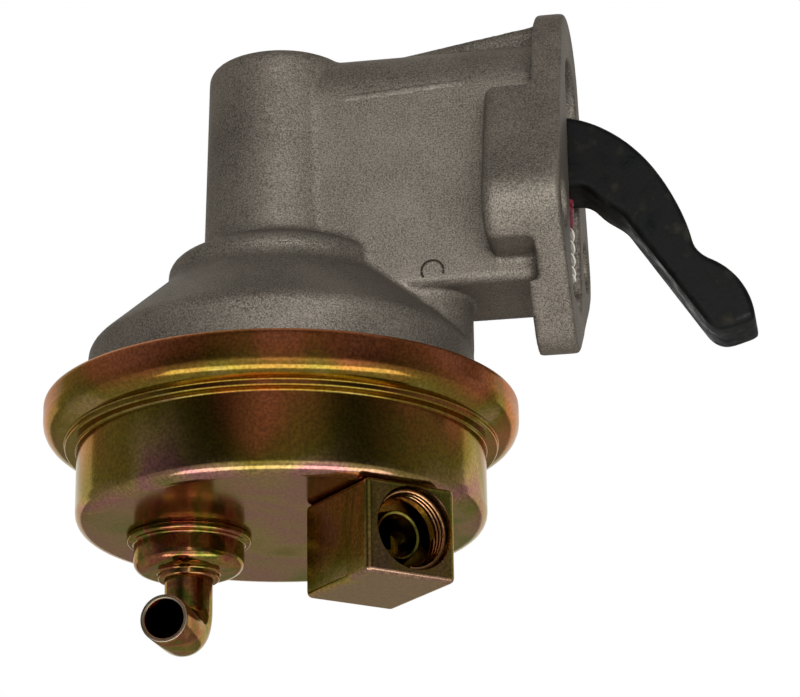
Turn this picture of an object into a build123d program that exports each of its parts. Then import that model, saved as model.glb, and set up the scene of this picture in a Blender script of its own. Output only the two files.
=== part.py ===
from build123d import *
import os
from math import cos, radians, sin

# Mechanical fuel pump for a petrol engine. +X points out of the mounting flange, into the engine,
# +Z is up the tower, and the origin is midway between the two bolt holes, on the flange's face.
# All sizes are in millimetres.

os.makedirs("parts", exist_ok=True)

# Mounting flange and its two bolt ears
bolt_spacing = 38.4
bolt_hole_radius = 5.1
ear_radius = 9.2
ear_thickness = 15.5
ear_top = 25.5
ear_bottom = -8.5
flange_thickness = 6.0
flange_top_radius = 16.0
flange_top_centre = 31.6
flange_bottom_radius = 8.5
flange_bottom_centre = -16.2
flange_edge = 0.9
flange_foot_thickness = 8.2
flange_foot_top = -14.5

# Tower, hollow arm and skirt of the casting
flange_reach = 60.4
tower_top = 40.4
tower_top_radius = 14.9
tower_base_radius = 15.8
tower_base = -0.1
tower_bore_radius = 12.0
tower_roof = 3.4
arm_half_width = 12.2
arm_wall = 3.2
arm_roof_centre = 29.0
arm_bottom = -13.0
arm_floor = 2.6
lip_depth = 3.2
lip_drop = 4.4
heel_inset = 0.1
heel_width = 22.0
heel_bottom = -23.0
rib_thickness = 4.0
rib_start = 16.0
rib_rise = 6.0
rib_sink = 3.0
rib_start_rise = 0.7
shoulder_radius = 23.0
shoulder_top = -3.3
shoulder_bottom = -7.6
tower_corner = 2.2
tower_root = 1.4
shoulder_corner = 2.9
shoulder_root = 3.2
skirt_corner = 3.0
skirt_draft = 0.5
skirt_ledge = 8.2
skirt_wall = 3.3
skirt_edge = -21.8
partition = 3.2
chamber_cone = 11.5
chamber_cone_bottom = -24.0

# Rolled rim and bowl of drawn steel sheet
rim_level = -34.0
rim_radius = 47.5
rim_height = 8.8
rim_lip_width = 3.9
rim_top_corner = 1.5
rim_bottom_corner = 4.3
sheet = 1.2
bead_width = 2.4
bead_drop = 1.3
bowl_inset = 6.7
bowl_bottom = -58.3
bowl_corner = 3.2
rim_clearance = 0.2

# Diaphragm stack and pull rod
diaphragm_thickness = 1.2
diaphragm_drop = 5.2
diaphragm_slope = 8.5
protector_inset = 2.0
protector_thickness = 1.0
rod_radius = 2.6
rod_hole_clearance = 0.05
rod_head_radius = 4.2
rod_head_height = 1.0
rod_shoulder_radius = 4.4
rod_shoulder_height = 2.4
washer_radius = 6.4
collar_radius = 6.0
collar_height = 1.8
rod_tip = 24.0
spring_seat_radius = 10.6
spring_seat_thickness = 1.2
seal_radius = 7.0
seal_height = 2.4
retainer_radius = 12.5
retainer_thickness = 1.0

# Rocker arm, link and pivot pin
pivot_depth = 29.4
pivot_level = 14.5
pin_radius = 3.2
pin_clearance = 0.05
pin_socket = 2.0
plug_radius = 5.0
plug_thickness = 1.5
rocker_width = 13.0
rocker_neck_drop = 6.5
rocker_neck_start = (8.0, 7.3)
rocker_neck_end = (21.4, 9.2)
rocker_back = ((32.2, 7.9), (41.7, 1.7), (49.2, -8.9), (52.8, -18.5), (55.8, -23.4))
rocker_pad_crown = (62.4, -29.3)
rocker_pad_end = (64.6, -36.5)
rocker_tip = ((62.2, -37.8), (57.8, -38.6), (54.3, -35.9))
rocker_under = ((40.0, -13.9), (35.0, -9.7))
rocker_neck_length = 30.0
rocker_heel_depth = 3.4
rocker_hub_radius = 7.0
rocker_hub_width = 8.0
rocker_edge = 1.1
link_thickness = 1.8
link_eye_radius = 6.4
link_nose_radius = 3.4
link_gap = 0.3
collar_gap = 0.75
link_web_thickness = 1.8
link_web_share = (0.387, 0.226)
seat_gap = 0.2

# Springs: mean radius, wire radius, turns
return_spring_depth = 7.2
return_spring_radius = 6.2
return_spring_wire = 0.8
return_spring_turns = 6.0
spring_nub_radius = 3.9
spring_nub_height = 2.4
diaphragm_spring_radius = 8.6
diaphragm_spring_wire = 0.9
diaphragm_spring_turns = 4.5
spring_end_gap = 0.15

# Valve plate, valves and inlet riser
valve_plate = 1.4
valve_rise = 11.1
valve_inset = 22.0
cage_radius = 9.0
cage_wall = 1.0
cage_flange_radius = 10.4
cage_flange = 0.9
cage_length = 8.0
cage_post_radius = 1.3
cage_post_height = 5.6
port_count = 6
port_radius = 1.5
port_circle = 4.6
valve_disc_radius = 6.8
valve_disc_thickness = 0.9
valve_disc_clearance = 0.3
valve_lift = 1.5
valve_seat_gap = 0.15
valve_spring_radius = 3.0
valve_spring_wire = 0.25
valve_spring_turns = 4.0
clip_radius = 3.9
clip_thickness = 0.8
riser_wall = 1.1
riser_clearance = 0.4
gasket_width = 2.2
gasket_thickness = 1.0
inlet_hole_radius = 6.5

# Inlet cup and elbow tube
cup_flange_radius = 12.4
cup_flange = 1.5
cup_radius = 11.0
cup_height = 7.4
cup_corner = 2.3
cup_sheet = 1.0
cup_collar_radius = 6.1
cup_collar_height = 1.6
tube_radius = 4.76
tube_wall = 0.85
tube_drop = 20.5
tube_bend_radius = 5.3
tube_reach = 16.4
tube_direction = -93.0

# Outlet block, cut from square steel bar, with an inverted-flare port
block_width = 19.5
block_length = 23.2
block_height = 18.4
block_inset = 17.8
block_y = -19.1
block_direction = -48.7
block_chamfer = 0.5
port_thread_radius = 7.6
port_mouth_radius = 8.2
port_relief_radius = 7.0
port_depth = 11.0
port_seat_base = 5.6
port_seat_tip = 4.4
port_seat_height = 5.0
port_passage_radius = 3.6
port_passage_length = 8.0
port_passage_shift = 4.0
port_rise = 0.5
port_side = 0.7

# Places worked out from the sizes above
tower_x = -flange_reach
tower_axis = Axis((tower_x, 0, 0), (0, 0, 1))
tower_plane = Plane(origin=(tower_x, 0, 0), x_dir=(1, 0, 0), z_dir=(0, -1, 0))
rim_top = rim_level + 1.9
rim_bottom = rim_top - rim_height
rim_inner_radius = rim_radius - sheet - rim_clearance
skirt_radius = rim_radius - skirt_ledge
clamp_radius = skirt_radius - skirt_wall
chamber_roof_radius = clamp_radius - chamber_cone
bowl_radius = rim_radius - bowl_inset
bead_radius = bowl_radius + bead_width
diaphragm_flat_radius = clamp_radius - diaphragm_slope
protector_radius = diaphragm_flat_radius - protector_inset
heel_reach = skirt_radius - heel_inset
valve_offset = bowl_radius - valve_inset
block_x = bowl_radius - block_inset
plate_rim_bottom = rim_bottom + sheet
diaphragm_rim_bottom = plate_rim_bottom + valve_plate
casting_rim_bottom = diaphragm_rim_bottom + diaphragm_thickness
casting_rim_top = rim_top - sheet
arm_inner = arm_half_width - arm_wall
cavity_floor = arm_bottom + arm_floor
chamber_roof = cavity_floor - partition
tower_bore_top = tower_top - tower_roof
pivot_x = -pivot_depth
pivot_reach = flange_reach - pivot_depth
link_web_start = link_web_share[0] * pivot_reach
link_web_length = link_web_share[1] * pivot_reach
return_spring_x = -return_spring_depth
rocker_neck_underside = pivot_level - rocker_neck_drop
diaphragm_top = casting_rim_bottom - diaphragm_drop
diaphragm_bottom = diaphragm_top - diaphragm_thickness
washer_top = diaphragm_bottom - protector_thickness
washer_bottom = washer_top - protector_thickness
collar_bottom = pivot_level + link_nose_radius + collar_gap
collar_top = collar_bottom + collar_height
spring_seat_top = collar_top + spring_seat_thickness
bowl_floor = bowl_bottom + sheet
valve_floor = bowl_bottom + valve_rise
tube_corner_level = bowl_bottom - tube_drop
inlet_x = tower_x - valve_offset
outlet_x = tower_x + valve_offset
rod_hole_radius = rod_radius + rod_hole_clearance
pin_hole_radius = pin_radius + pin_clearance


# Upper body: one aluminium die casting of flange, ears, hollow arm, tower and skirt
with BuildPart() as upper_body:
    # bolt ears, as deep as the bolts need, with rounded back edges
    with BuildSketch(Plane.YZ.offset(-ear_thickness)) as ear_outline:
        with Locations((0, flange_top_centre)):
            Circle(flange_top_radius)
        with Locations((0, flange_bottom_centre)):
            Circle(flange_bottom_radius)
        with GridLocations(bolt_spacing, 1, 2, 1):
            Circle(ear_radius)
        make_hull()
        with Locations((0, (ear_top + ear_bottom) / 2)):
            Rectangle(4 * bolt_spacing, ear_top - ear_bottom, mode=Mode.INTERSECT)
    extrude(amount=ear_thickness)
    fillet(upper_body.faces().sort_by(Axis.X)[0].edges(), radius=2.4)

    # thin flange plate round the opening
    with BuildSketch(Plane.YZ.offset(-flange_thickness)) as flange_outline:
        with Locations((0, flange_top_centre)):
            Circle(flange_top_radius)
        with Locations((0, flange_bottom_centre)):
            Circle(flange_bottom_radius)
        with GridLocations(bolt_spacing, 1, 2, 1):
            Circle(ear_radius)
        make_hull()
    extrude(amount=flange_thickness)

    fillet(upper_body.faces().sort_by(Axis.X)[-1].edges(), radius=flange_edge)

    # foot of the flange, a little thicker, below the opening
    with BuildSketch(Plane.YZ.offset(-flange_foot_thickness)) as foot_outline:
        with Locations((0, flange_bottom_centre)):
            Circle(flange_bottom_radius)
        with GridLocations(bolt_spacing, 1, 2, 1):
            Circle(ear_radius)
        make_hull()
        with Locations((0, flange_foot_top - 2 * flange_bottom_radius)):
            Rectangle(4 * bolt_spacing, 4 * flange_bottom_radius, mode=Mode.INTERSECT)
    extrude(amount=flange_foot_thickness - flange_edge)

    # arm with a half-round roof, from the tower to the flange
    with BuildSketch(Plane.YZ.offset(tower_x)) as arm_outline:
        with Locations((0, arm_roof_centre)):
            Circle(arm_half_width)
        with Locations((0, (arm_roof_centre + arm_bottom) / 2)):
            Rectangle(2 * arm_half_width, arm_roof_centre - arm_bottom)
        fillet(arm_outline.vertices().group_by(Axis.Y)[0], radius=1.6)
    extrude(amount=flange_reach - flange_thickness / 2)

    # heel that carries the arm's underside down to the skirt
    with BuildSketch(Plane.XY.offset(heel_bottom)) as heel_outline:
        with Locations((tower_x + (heel_reach - heel_width / 2) / 2, 0)):
            Rectangle(heel_reach - heel_width / 2, heel_width)
        with Locations((tower_x + heel_reach - heel_width / 2, 0)):
            Circle(heel_width / 2)
    extrude(amount=arm_bottom - heel_bottom + 1.0)

    # gusset rib that rises along the arm's roof to the flange
    with BuildSketch(Plane.XZ) as rib_outline:
        with BuildLine():
            rib_foot = arm_roof_centre + arm_half_width
            Polyline(
                (tower_x + rib_start, rib_foot - rib_sink),
                (tower_x + rib_start, rib_foot - rib_start_rise),
                (-flange_thickness / 2, rib_foot + rib_rise),
                (-flange_thickness / 2, rib_foot - rib_sink),
                close=True,
            )
        make_face()
    extrude(amount=rib_thickness / 2, both=True)

    # tower and stepped skirt, turned about the tower's axis
    with BuildSketch(tower_plane) as skirt_profile:
        with BuildLine():
            FilletPolyline(
                (0, tower_top),
                (tower_top_radius, tower_top),
                (tower_base_radius, tower_base),
                (shoulder_radius, shoulder_top),
                (shoulder_radius, shoulder_bottom),
                (skirt_radius - skirt_draft, skirt_edge),
                (skirt_radius, casting_rim_top),
                (rim_inner_radius, casting_rim_top),
                (rim_inner_radius, casting_rim_bottom),
                (0, casting_rim_bottom),
                radius=[tower_corner, tower_root, shoulder_corner, shoulder_root, skirt_corner, 0.6, 0.5, 0.3],
            )
            Line((0, casting_rim_bottom), (0, tower_top))
        make_face()
    revolve(axis=tower_axis)

    # root fillets where the arm meets the flange and the ears
    flange_back = upper_body.edges().filter_by_position(Axis.X, -flange_thickness - 0.01, -flange_thickness + 0.01)
    fillet(flange_back.filter_by_position(Axis.Z, arm_bottom - 0.1, arm_bottom + 0.1), radius=2.0)

    # breathing chamber over the diaphragm
    with BuildSketch(tower_plane):
        with BuildLine():
            FilletPolyline(
                (0, chamber_roof),
                (chamber_roof_radius, chamber_roof),
                (clamp_radius, chamber_cone_bottom),
                (clamp_radius, casting_rim_bottom),
                (0, casting_rim_bottom),
                radius=[2.0, 3.0, 0.3],
            )
            Line((0, casting_rim_bottom), (0, chamber_roof))
        make_face()
    revolve(axis=tower_axis, mode=Mode.SUBTRACT)

    # tower bore, and the arm's cavity, open through the flange
    with BuildSketch(Plane.XY.offset(cavity_floor)):
        with Locations((tower_x, 0)):
            Circle(tower_bore_radius)
    extrude(amount=tower_bore_top - cavity_floor, mode=Mode.SUBTRACT)
    with BuildSketch(Plane.YZ.offset(tower_x)) as cavity_outline:
        with Locations((0, arm_roof_centre)):
            Circle(arm_inner)
        with Locations((0, (arm_roof_centre + cavity_floor) / 2)):
            Rectangle(2 * arm_inner, arm_roof_centre - cavity_floor)
        fillet(cavity_outline.vertices().group_by(Axis.Y)[0], radius=1.2)
    extrude(amount=flange_reach, mode=Mode.SUBTRACT)

    # sloping lip under the opening's lower edge
    with BuildSketch(Plane.XZ):
        with BuildLine():
            Polyline(
                (-lip_depth, cavity_floor),
                (0, cavity_floor - lip_drop),
                (0, cavity_floor + 2.0),
                (-lip_depth, cavity_floor + 2.0),
                close=True,
            )
        make_face()
    extrude(amount=arm_inner - 1.2, both=True, mode=Mode.SUBTRACT)

    # bore for the rod's seal, bolt holes, and the pin's socket and plug seat
    with Locations((tower_x, 0, chamber_roof)):
        Hole(seal_radius, depth=2 * partition)
    with BuildSketch(Plane.YZ):
        with GridLocations(bolt_spacing, 1, 2, 1):
            Circle(bolt_hole_radius)
    extrude(amount=-ear_thickness, mode=Mode.SUBTRACT)
    with BuildSketch(Plane.XZ.offset(arm_inner + pin_socket)):
        with Locations((pivot_x, pivot_level)):
            Circle(pin_radius)
    extrude(amount=-(arm_inner + pin_socket + arm_half_width), mode=Mode.SUBTRACT)
    with BuildSketch(Plane.XZ.offset(-arm_half_width)):
        with Locations((pivot_x, pivot_level)):
            Circle(plug_radius)
    extrude(amount=plug_thickness, mode=Mode.SUBTRACT)

    # nub that centres the return spring on the arm's floor
    with BuildSketch(Plane.XY.offset(cavity_floor)):
        with Locations((return_spring_x, 0)):
            Circle(spring_nub_radius)
    extrude(amount=spring_nub_height, taper=8)
upper_body.part.label = "upper_body"
export_step(upper_body.part, "parts/upper_body.step")


# Pivot pin and the plug that closes its bore
with BuildPart() as pivot_pin:
    with BuildSketch(Plane.XZ.offset(arm_inner + pin_socket)):
        with Locations((pivot_x, pivot_level)):
            Circle(pin_radius)
    extrude(amount=-(arm_inner + pin_socket + arm_half_width - plug_thickness))
    chamfer(pivot_pin.edges().filter_by(GeomType.CIRCLE), length=0.4)
pivot_pin.part.label = "pivot_pin"
export_step(pivot_pin.part, "parts/pivot_pin.step")

with BuildPart() as pin_plug:
    with BuildSketch(Plane.XZ.offset(-arm_half_width)):
        with Locations((pivot_x, pivot_level)):
            Circle(plug_radius)
    extrude(amount=plug_thickness)
    fillet(pin_plug.faces().sort_by(Axis.Y)[-1].edges(), radius=0.4)
pin_plug.part.label = "pin_plug"
export_step(pin_plug.part, "parts/pin_plug.step")


# Rocker arm: steel forging of hub, heel, neck and a curved arm with a rounded wear pad.
# Its outline is given as distances forward of the pivot and above it.
def from_pivot(point):
    return (pivot_x + point[0], pivot_level + point[1])


with BuildPart() as rocker_arm:
    with BuildSketch(Plane.XZ) as rocker_outline:
        with BuildLine():
            neck_top = Line(from_pivot(rocker_neck_start), from_pivot(rocker_neck_end))
            back_points = [from_pivot(point) for point in rocker_back]
            back_curve = Spline(neck_top @ 1, *back_points, tangents=[(1, 0.1), (1.4, -1)])
            pad_curve = ThreePointArc(back_curve @ 1, from_pivot(rocker_pad_crown), from_pivot(rocker_pad_end))
            tip_points = [from_pivot(point) for point in rocker_tip]
            tip_curve = Spline(pad_curve @ 1, *tip_points, tangents=[(-0.6, -1), (-0.6, 1)])
            under_line = Line(tip_curve @ 1, from_pivot(rocker_under[0]))
            under_curve = Spline(
                under_line @ 1,
                from_pivot(rocker_under[1]),
                (pivot_x + rocker_neck_length, rocker_neck_underside),
                tangents=[(-0.6, 0.9), (-1, 0)],
            )
            Polyline(under_curve @ 1, (neck_top @ 0 - (0, rocker_neck_start[1] + rocker_neck_drop)), neck_top @ 0)
        make_face()
    extrude(amount=rocker_width / 2, both=True)
    fillet(rocker_arm.faces().sort_by(Axis.Y)[0].edges(), radius=rocker_edge)
    fillet(rocker_arm.faces().sort_by(Axis.Y)[-1].edges(), radius=rocker_edge)
    with BuildSketch(Plane.XZ) as heel_profile:
        with Locations((pivot_x, pivot_level)):
            Circle(rocker_hub_radius)
        with BuildLine():
            heel_tip = tower_x + link_web_start + 1.0
            heel_top = pivot_level - seat_gap - link_web_thickness / 2
            neck_middle = pivot_x + rocker_neck_start[0] + 1.0
            Polyline(
                (pivot_x, pivot_level + 0.7 * rocker_hub_radius),
                (heel_tip + link_web_length, heel_top),
                (heel_tip, heel_top),
                (heel_tip, heel_top - rocker_heel_depth),
                (pivot_x, pivot_level - 0.95 * rocker_hub_radius),
                (neck_middle, rocker_neck_underside),
                (neck_middle, pivot_level + rocker_neck_start[1]),
                (pivot_x, pivot_level + rocker_hub_radius),
                close=True,
            )
        make_face()
    extrude(amount=rocker_hub_width / 2, both=True)
    with BuildSketch(Plane.XZ):
        with Locations((pivot_x, pivot_level)):
            Circle(pin_hole_radius)
    extrude(amount=rocker_width, both=True, mode=Mode.SUBTRACT)
    with BuildSketch(Plane.XY.offset(rocker_neck_underside)):
        with Locations((return_spring_x, 0)):
            Circle(spring_nub_radius)
    extrude(amount=-spring_nub_height, taper=8)
rocker_arm.part.label = "rocker_arm"
export_step(rocker_arm.part, "parts/rocker_arm.step")


# Link lever: two stamped cheeks joined by a web that rests on the rocker's heel
link_inside = rocker_hub_width / 2 + link_gap
with BuildPart() as link_lever:
    with BuildSketch(Plane.XZ) as cheek_outline:
        with Locations((pivot_x, pivot_level)):
            Circle(link_eye_radius)
        with Locations((tower_x, pivot_level)):
            Circle(link_nose_radius)
        make_hull()
    extrude(amount=link_inside + link_thickness, both=True)
    with BuildSketch(Plane.XZ):
        with Locations((pivot_x, pivot_level)):
            Rectangle(4 * pivot_reach, 4 * link_eye_radius)
        with Locations((tower_x + link_web_start + link_web_length / 2, pivot_level)):
            Rectangle(link_web_length, link_web_thickness, mode=Mode.SUBTRACT)
    extrude(amount=link_inside, both=True, mode=Mode.SUBTRACT)
    with BuildSketch(Plane.XZ):
        with Locations((pivot_x, pivot_level)):
            Circle(pin_hole_radius)
    extrude(amount=rocker_width, both=True, mode=Mode.SUBTRACT)
link_lever.part.label = "link_lever"
export_step(link_lever.part, "parts/link_lever.step")


# Pull rod: turned steel, with a collar for the link, a shoulder and a riveted foot
with BuildPart() as pull_rod:
    with BuildSketch(tower_plane):
        with BuildLine():
            Polyline(
                (0, rod_tip),
                (rod_radius - 0.6, rod_tip),
                (rod_radius, rod_tip - 0.6),
                (rod_radius, collar_top),
                (collar_radius, collar_top),
                (collar_radius, collar_bottom),
                (rod_radius, collar_bottom),
                (rod_radius, diaphragm_top + protector_thickness + rod_shoulder_height),
                (rod_shoulder_radius, diaphragm_top + protector_thickness + rod_shoulder_height),
                (rod_shoulder_radius, diaphragm_top + protector_thickness),
                (rod_radius, diaphragm_top + protector_thickness),
                (rod_radius, washer_bottom),
                (rod_head_radius, washer_bottom),
                (rod_head_radius - 0.7, washer_bottom - rod_head_height),
                (0, washer_bottom - rod_head_height),
                close=True,
            )
        make_face()
    revolve(axis=tower_axis)
pull_rod.part.label = "pull_rod"
export_step(pull_rod.part, "parts/pull_rod.step")

# Spring seat: stamped cup washer on the rod's collar
with BuildPart() as spring_seat:
    with BuildSketch(tower_plane):
        with BuildLine():
            Polyline(
                (rod_hole_radius, collar_top),
                (spring_seat_radius, collar_top),
                (spring_seat_radius, spring_seat_top + 1.6),
                (spring_seat_radius - 0.8, spring_seat_top + 1.6),
                (spring_seat_radius - 0.8, spring_seat_top),
                (rod_hole_radius, spring_seat_top),
                close=True,
            )
        make_face()
    revolve(axis=tower_axis)
spring_seat.part.label = "spring_seat"
export_step(spring_seat.part, "parts/spring_seat.step")


# Oil seal in the partition, and the plate that holds it up
with BuildPart() as oil_seal:
    with BuildSketch(tower_plane):
        with BuildLine():
            Polyline(
                (rod_hole_radius, chamber_roof),
                (seal_radius, chamber_roof),
                (seal_radius, chamber_roof + seal_height),
                (rod_radius + 2.4, chamber_roof + seal_height),
                (rod_radius + 1.6, chamber_roof + 1.0),
                (rod_hole_radius, chamber_roof + seal_height + 1.0),
                close=True,
            )
        make_face()
    revolve(axis=tower_axis)
oil_seal.part.label = "oil_seal"
export_step(oil_seal.part, "parts/oil_seal.step")

with BuildPart() as seal_retainer:
    with BuildSketch(Plane.XY.offset(chamber_roof)):
        with Locations((tower_x, 0)):
            Circle(retainer_radius)
            Circle(rod_radius + 1.0, mode=Mode.SUBTRACT)
            with PolarLocations(retainer_radius, 8, start_angle=22.5):
                Circle(1.6, mode=Mode.SUBTRACT)
    extrude(amount=-retainer_thickness)
seal_retainer.part.label = "seal_retainer"
export_step(seal_retainer.part, "parts/seal_retainer.step")


# Diaphragm: rubber-coated cloth, clamped in the rim and dished down to the rod's foot
with BuildPart() as diaphragm:
    with BuildSketch(tower_plane):
        with BuildLine():
            Polyline(
                (rod_radius, diaphragm_top),
                (diaphragm_flat_radius, diaphragm_top),
                (clamp_radius, casting_rim_bottom),
                (rim_inner_radius, casting_rim_bottom),
                (rim_inner_radius, diaphragm_rim_bottom),
                (clamp_radius, diaphragm_rim_bottom),
                (diaphragm_flat_radius, diaphragm_bottom),
                (rod_radius, diaphragm_bottom),
                close=True,
            )
        make_face()
    revolve(axis=tower_axis)
diaphragm.part.label = "diaphragm"
export_step(diaphragm.part, "parts/diaphragm.step")

# Protector plates above and below the diaphragm, edges turned away from the rubber
for plate_name, plate_level, rim_turn in (
    ("upper_protector", diaphragm_top, 1),
    ("lower_protector", diaphragm_bottom, -1),
):
    with BuildPart() as protector:
        with BuildSketch(tower_plane):
            with BuildLine():
                plate_outer = plate_level + rim_turn * protector_thickness
                Polyline(
                    (rod_radius, plate_level),
                    (protector_radius - 0.6, plate_level),
                    (protector_radius, plate_level + rim_turn * 0.6),
                    (protector_radius, plate_outer + rim_turn * 0.9),
                    (protector_radius - protector_thickness, plate_outer + rim_turn * 0.9),
                    (protector_radius - protector_thickness, plate_outer),
                    (rod_radius, plate_outer),
                    close=True,
                )
            make_face()
        revolve(axis=tower_axis)
    protector.part.label = plate_name
    export_step(protector.part, f"parts/{plate_name}.step")

# Washer under the lower protector, held by the rod's riveted foot
with BuildPart() as rod_washer:
    with BuildSketch(Plane.XY.offset(washer_top)):
        with Locations((tower_x, 0)):
            Circle(washer_radius)
            Circle(rod_radius, mode=Mode.SUBTRACT)
    extrude(amount=-protector_thickness)
rod_washer.part.label = "rod_washer"
export_step(rod_washer.part, "parts/rod_washer.step")


# Valve body: stamped dish clamped in the rim, with a hole for each valve cage
with BuildPart() as valve_body:
    with BuildSketch(tower_plane):
        with BuildLine():
            FilletPolyline(
                (0, valve_floor),
                (clamp_radius + 0.2, valve_floor),
                (clamp_radius + 0.2, diaphragm_rim_bottom),
                (rim_inner_radius, diaphragm_rim_bottom),
                (rim_inner_radius, plate_rim_bottom),
                (clamp_radius + 0.2 + valve_plate, plate_rim_bottom),
                (clamp_radius + 0.2 + valve_plate, valve_floor - valve_plate),
                (0, valve_floor - valve_plate),
                radius=[1.2, 0.4, 0.3, 0.3, 0.3, 2.4],
            )
            Line((0, valve_floor - valve_plate), (0, valve_floor))
        make_face()
    revolve(axis=tower_axis)
    with Locations((inlet_x, 0, valve_floor), (outlet_x, 0, valve_floor)):
        Hole(cage_radius, depth=2 * valve_plate)
valve_body.part.label = "valve_body"
export_step(valve_body.part, "parts/valve_body.step")


# Inlet riser and its gasket, which seal the inlet valve's cage to the bowl's floor
with BuildPart() as inlet_riser:
    with BuildSketch(Plane.XY.offset(bowl_floor + gasket_thickness)):
        with Locations((inlet_x, 0)):
            Circle(cage_radius + riser_clearance + riser_wall)
            Circle(cage_radius + riser_clearance, mode=Mode.SUBTRACT)
    extrude(amount=valve_floor - valve_plate - bowl_floor - gasket_thickness)
inlet_riser.part.label = "inlet_riser"
export_step(inlet_riser.part, "parts/inlet_riser.step")

with BuildPart() as riser_gasket:
    with BuildSketch(Plane.XY.offset(bowl_floor)):
        with Locations((inlet_x, 0)):
            Circle(cage_radius + riser_clearance + gasket_width)
            Circle(cage_radius + riser_clearance, mode=Mode.SUBTRACT)
    extrude(amount=gasket_thickness)
riser_gasket.part.label = "riser_gasket"
export_step(riser_gasket.part, "parts/riser_gasket.step")


# Both valves: cage with a ported seat and a post, disc, spring and clip.
# The inlet valve opens upwards into the pumping chamber, the outlet valve downwards into the bowl.
inlet_seat = valve_floor + cage_flange - cage_length
for valve_name, valve_x, seat_level, opens, flange_level in (
    ("inlet", inlet_x, inlet_seat, 1, valve_floor + cage_flange / 2),
    ("outlet", outlet_x, valve_floor, -1, valve_floor - valve_plate - cage_flange / 2),
):
    valve_plane = Plane(origin=(valve_x, 0, seat_level), x_dir=(1, 0, 0), z_dir=(0, 0, opens))
    clip_level = cage_wall + cage_post_height - clip_thickness - 0.4
    disc_level = cage_wall + valve_seat_gap
    spring_level = disc_level + valve_disc_thickness

    with BuildPart() as valve_cage:
        with BuildSketch(valve_plane):
            Circle(cage_radius)
        extrude(amount=cage_length)
        with BuildSketch(valve_plane.offset(cage_wall)):
            Circle(cage_radius - cage_wall)
            Circle(cage_post_radius, mode=Mode.SUBTRACT)
        extrude(amount=cage_length, mode=Mode.SUBTRACT)
        with BuildSketch(valve_plane.offset(cage_wall + cage_post_height)):
            Circle(cage_radius - cage_wall)
        extrude(amount=cage_length, mode=Mode.SUBTRACT)
        with BuildSketch(valve_plane):
            with PolarLocations(port_circle, port_count):
                Circle(port_radius)
        extrude(amount=cage_wall, mode=Mode.SUBTRACT)
        with BuildSketch(Plane.XY.offset(flange_level)):
            with Locations((valve_x, 0)):
                Circle(cage_flange_radius)
                Circle(cage_radius - cage_wall / 2, mode=Mode.SUBTRACT)
        extrude(amount=cage_flange / 2, both=True)
    valve_cage.part.label = f"{valve_name}_valve_cage"
    export_step(valve_cage.part, f"parts/{valve_name}_valve_cage.step")

    with BuildPart() as valve_disc:
        with BuildSketch(valve_plane.offset(disc_level)):
            Circle(valve_disc_radius)
            Circle(cage_post_radius + valve_disc_clearance, mode=Mode.SUBTRACT)
        extrude(amount=valve_disc_thickness)
    valve_disc.part.label = f"{valve_name}_valve_disc"
    export_step(valve_disc.part, f"parts/{valve_name}_valve_disc.step")

    with BuildPart() as valve_clip:
        with BuildSketch(valve_plane.offset(clip_level)):
            Circle(clip_radius)
            Circle(cage_post_radius, mode=Mode.SUBTRACT)
        extrude(amount=clip_thickness)
    valve_clip.part.label = f"{valve_name}_valve_clip"
    export_step(valve_clip.part, f"parts/{valve_name}_valve_clip.step")

    spring_height = clip_level - spring_level - 2 * valve_spring_wire - 2 * spring_end_gap
    spring_base = seat_level + opens * (spring_level + valve_spring_wire + spring_end_gap)
    with BuildPart() as valve_spring:
        with BuildLine() as valve_coil:
            Helix(
                spring_height / valve_spring_turns,
                spring_height,
                valve_spring_radius,
                center=(valve_x, 0, spring_base),
                direction=(0, 0, opens),
            )
        with BuildSketch(Plane(origin=valve_coil.line @ 0, z_dir=valve_coil.line % 0)):
            Circle(valve_spring_wire)
        sweep(is_frenet=True)
    valve_spring.part.label = f"{valve_name}_valve_spring"
    export_step(valve_spring.part, f"parts/{valve_name}_valve_spring.step")


# Coil springs: the rocker's return spring in the arm, the diaphragm's spring in the tower
for spring_name, spring_x, low, high, coil_radius, wire_radius, turns in (
    ("return_spring", return_spring_x, cavity_floor, rocker_neck_underside,
     return_spring_radius, return_spring_wire, return_spring_turns),
    ("diaphragm_spring", tower_x, spring_seat_top, tower_bore_top,
     diaphragm_spring_radius, diaphragm_spring_wire, diaphragm_spring_turns),
):
    coil_height = high - low - 2 * wire_radius - 2 * spring_end_gap
    coil_base = low + wire_radius + spring_end_gap
    with BuildPart() as coil_spring:
        with BuildLine() as coil:
            Helix(coil_height / turns, coil_height, coil_radius, center=(spring_x, 0, coil_base))
        with BuildSketch(Plane(origin=coil.line @ 0, z_dir=coil.line % 0)):
            Circle(wire_radius)
        sweep(is_frenet=True)
    coil_spring.part.label = spring_name
    export_step(coil_spring.part, f"parts/{spring_name}.step")


# Outlet block's own axes: its port looks along the block's length, away from the bowl's middle
block_turn = radians(block_direction)
block_centre = Vector(tower_x + block_x, block_y, bowl_bottom - block_height / 2)
port_out = Vector(cos(block_turn), sin(block_turn), 0)
port_across = Vector(-sin(block_turn), cos(block_turn), 0)
port_centre = block_centre + port_out * (block_length / 2) + port_across * port_side + Vector(0, 0, port_rise)
port_plane = Plane(origin=port_centre, x_dir=(0, 0, 1), z_dir=port_out)
passage_centre = block_centre + port_across * port_side - port_out * port_passage_shift

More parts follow.
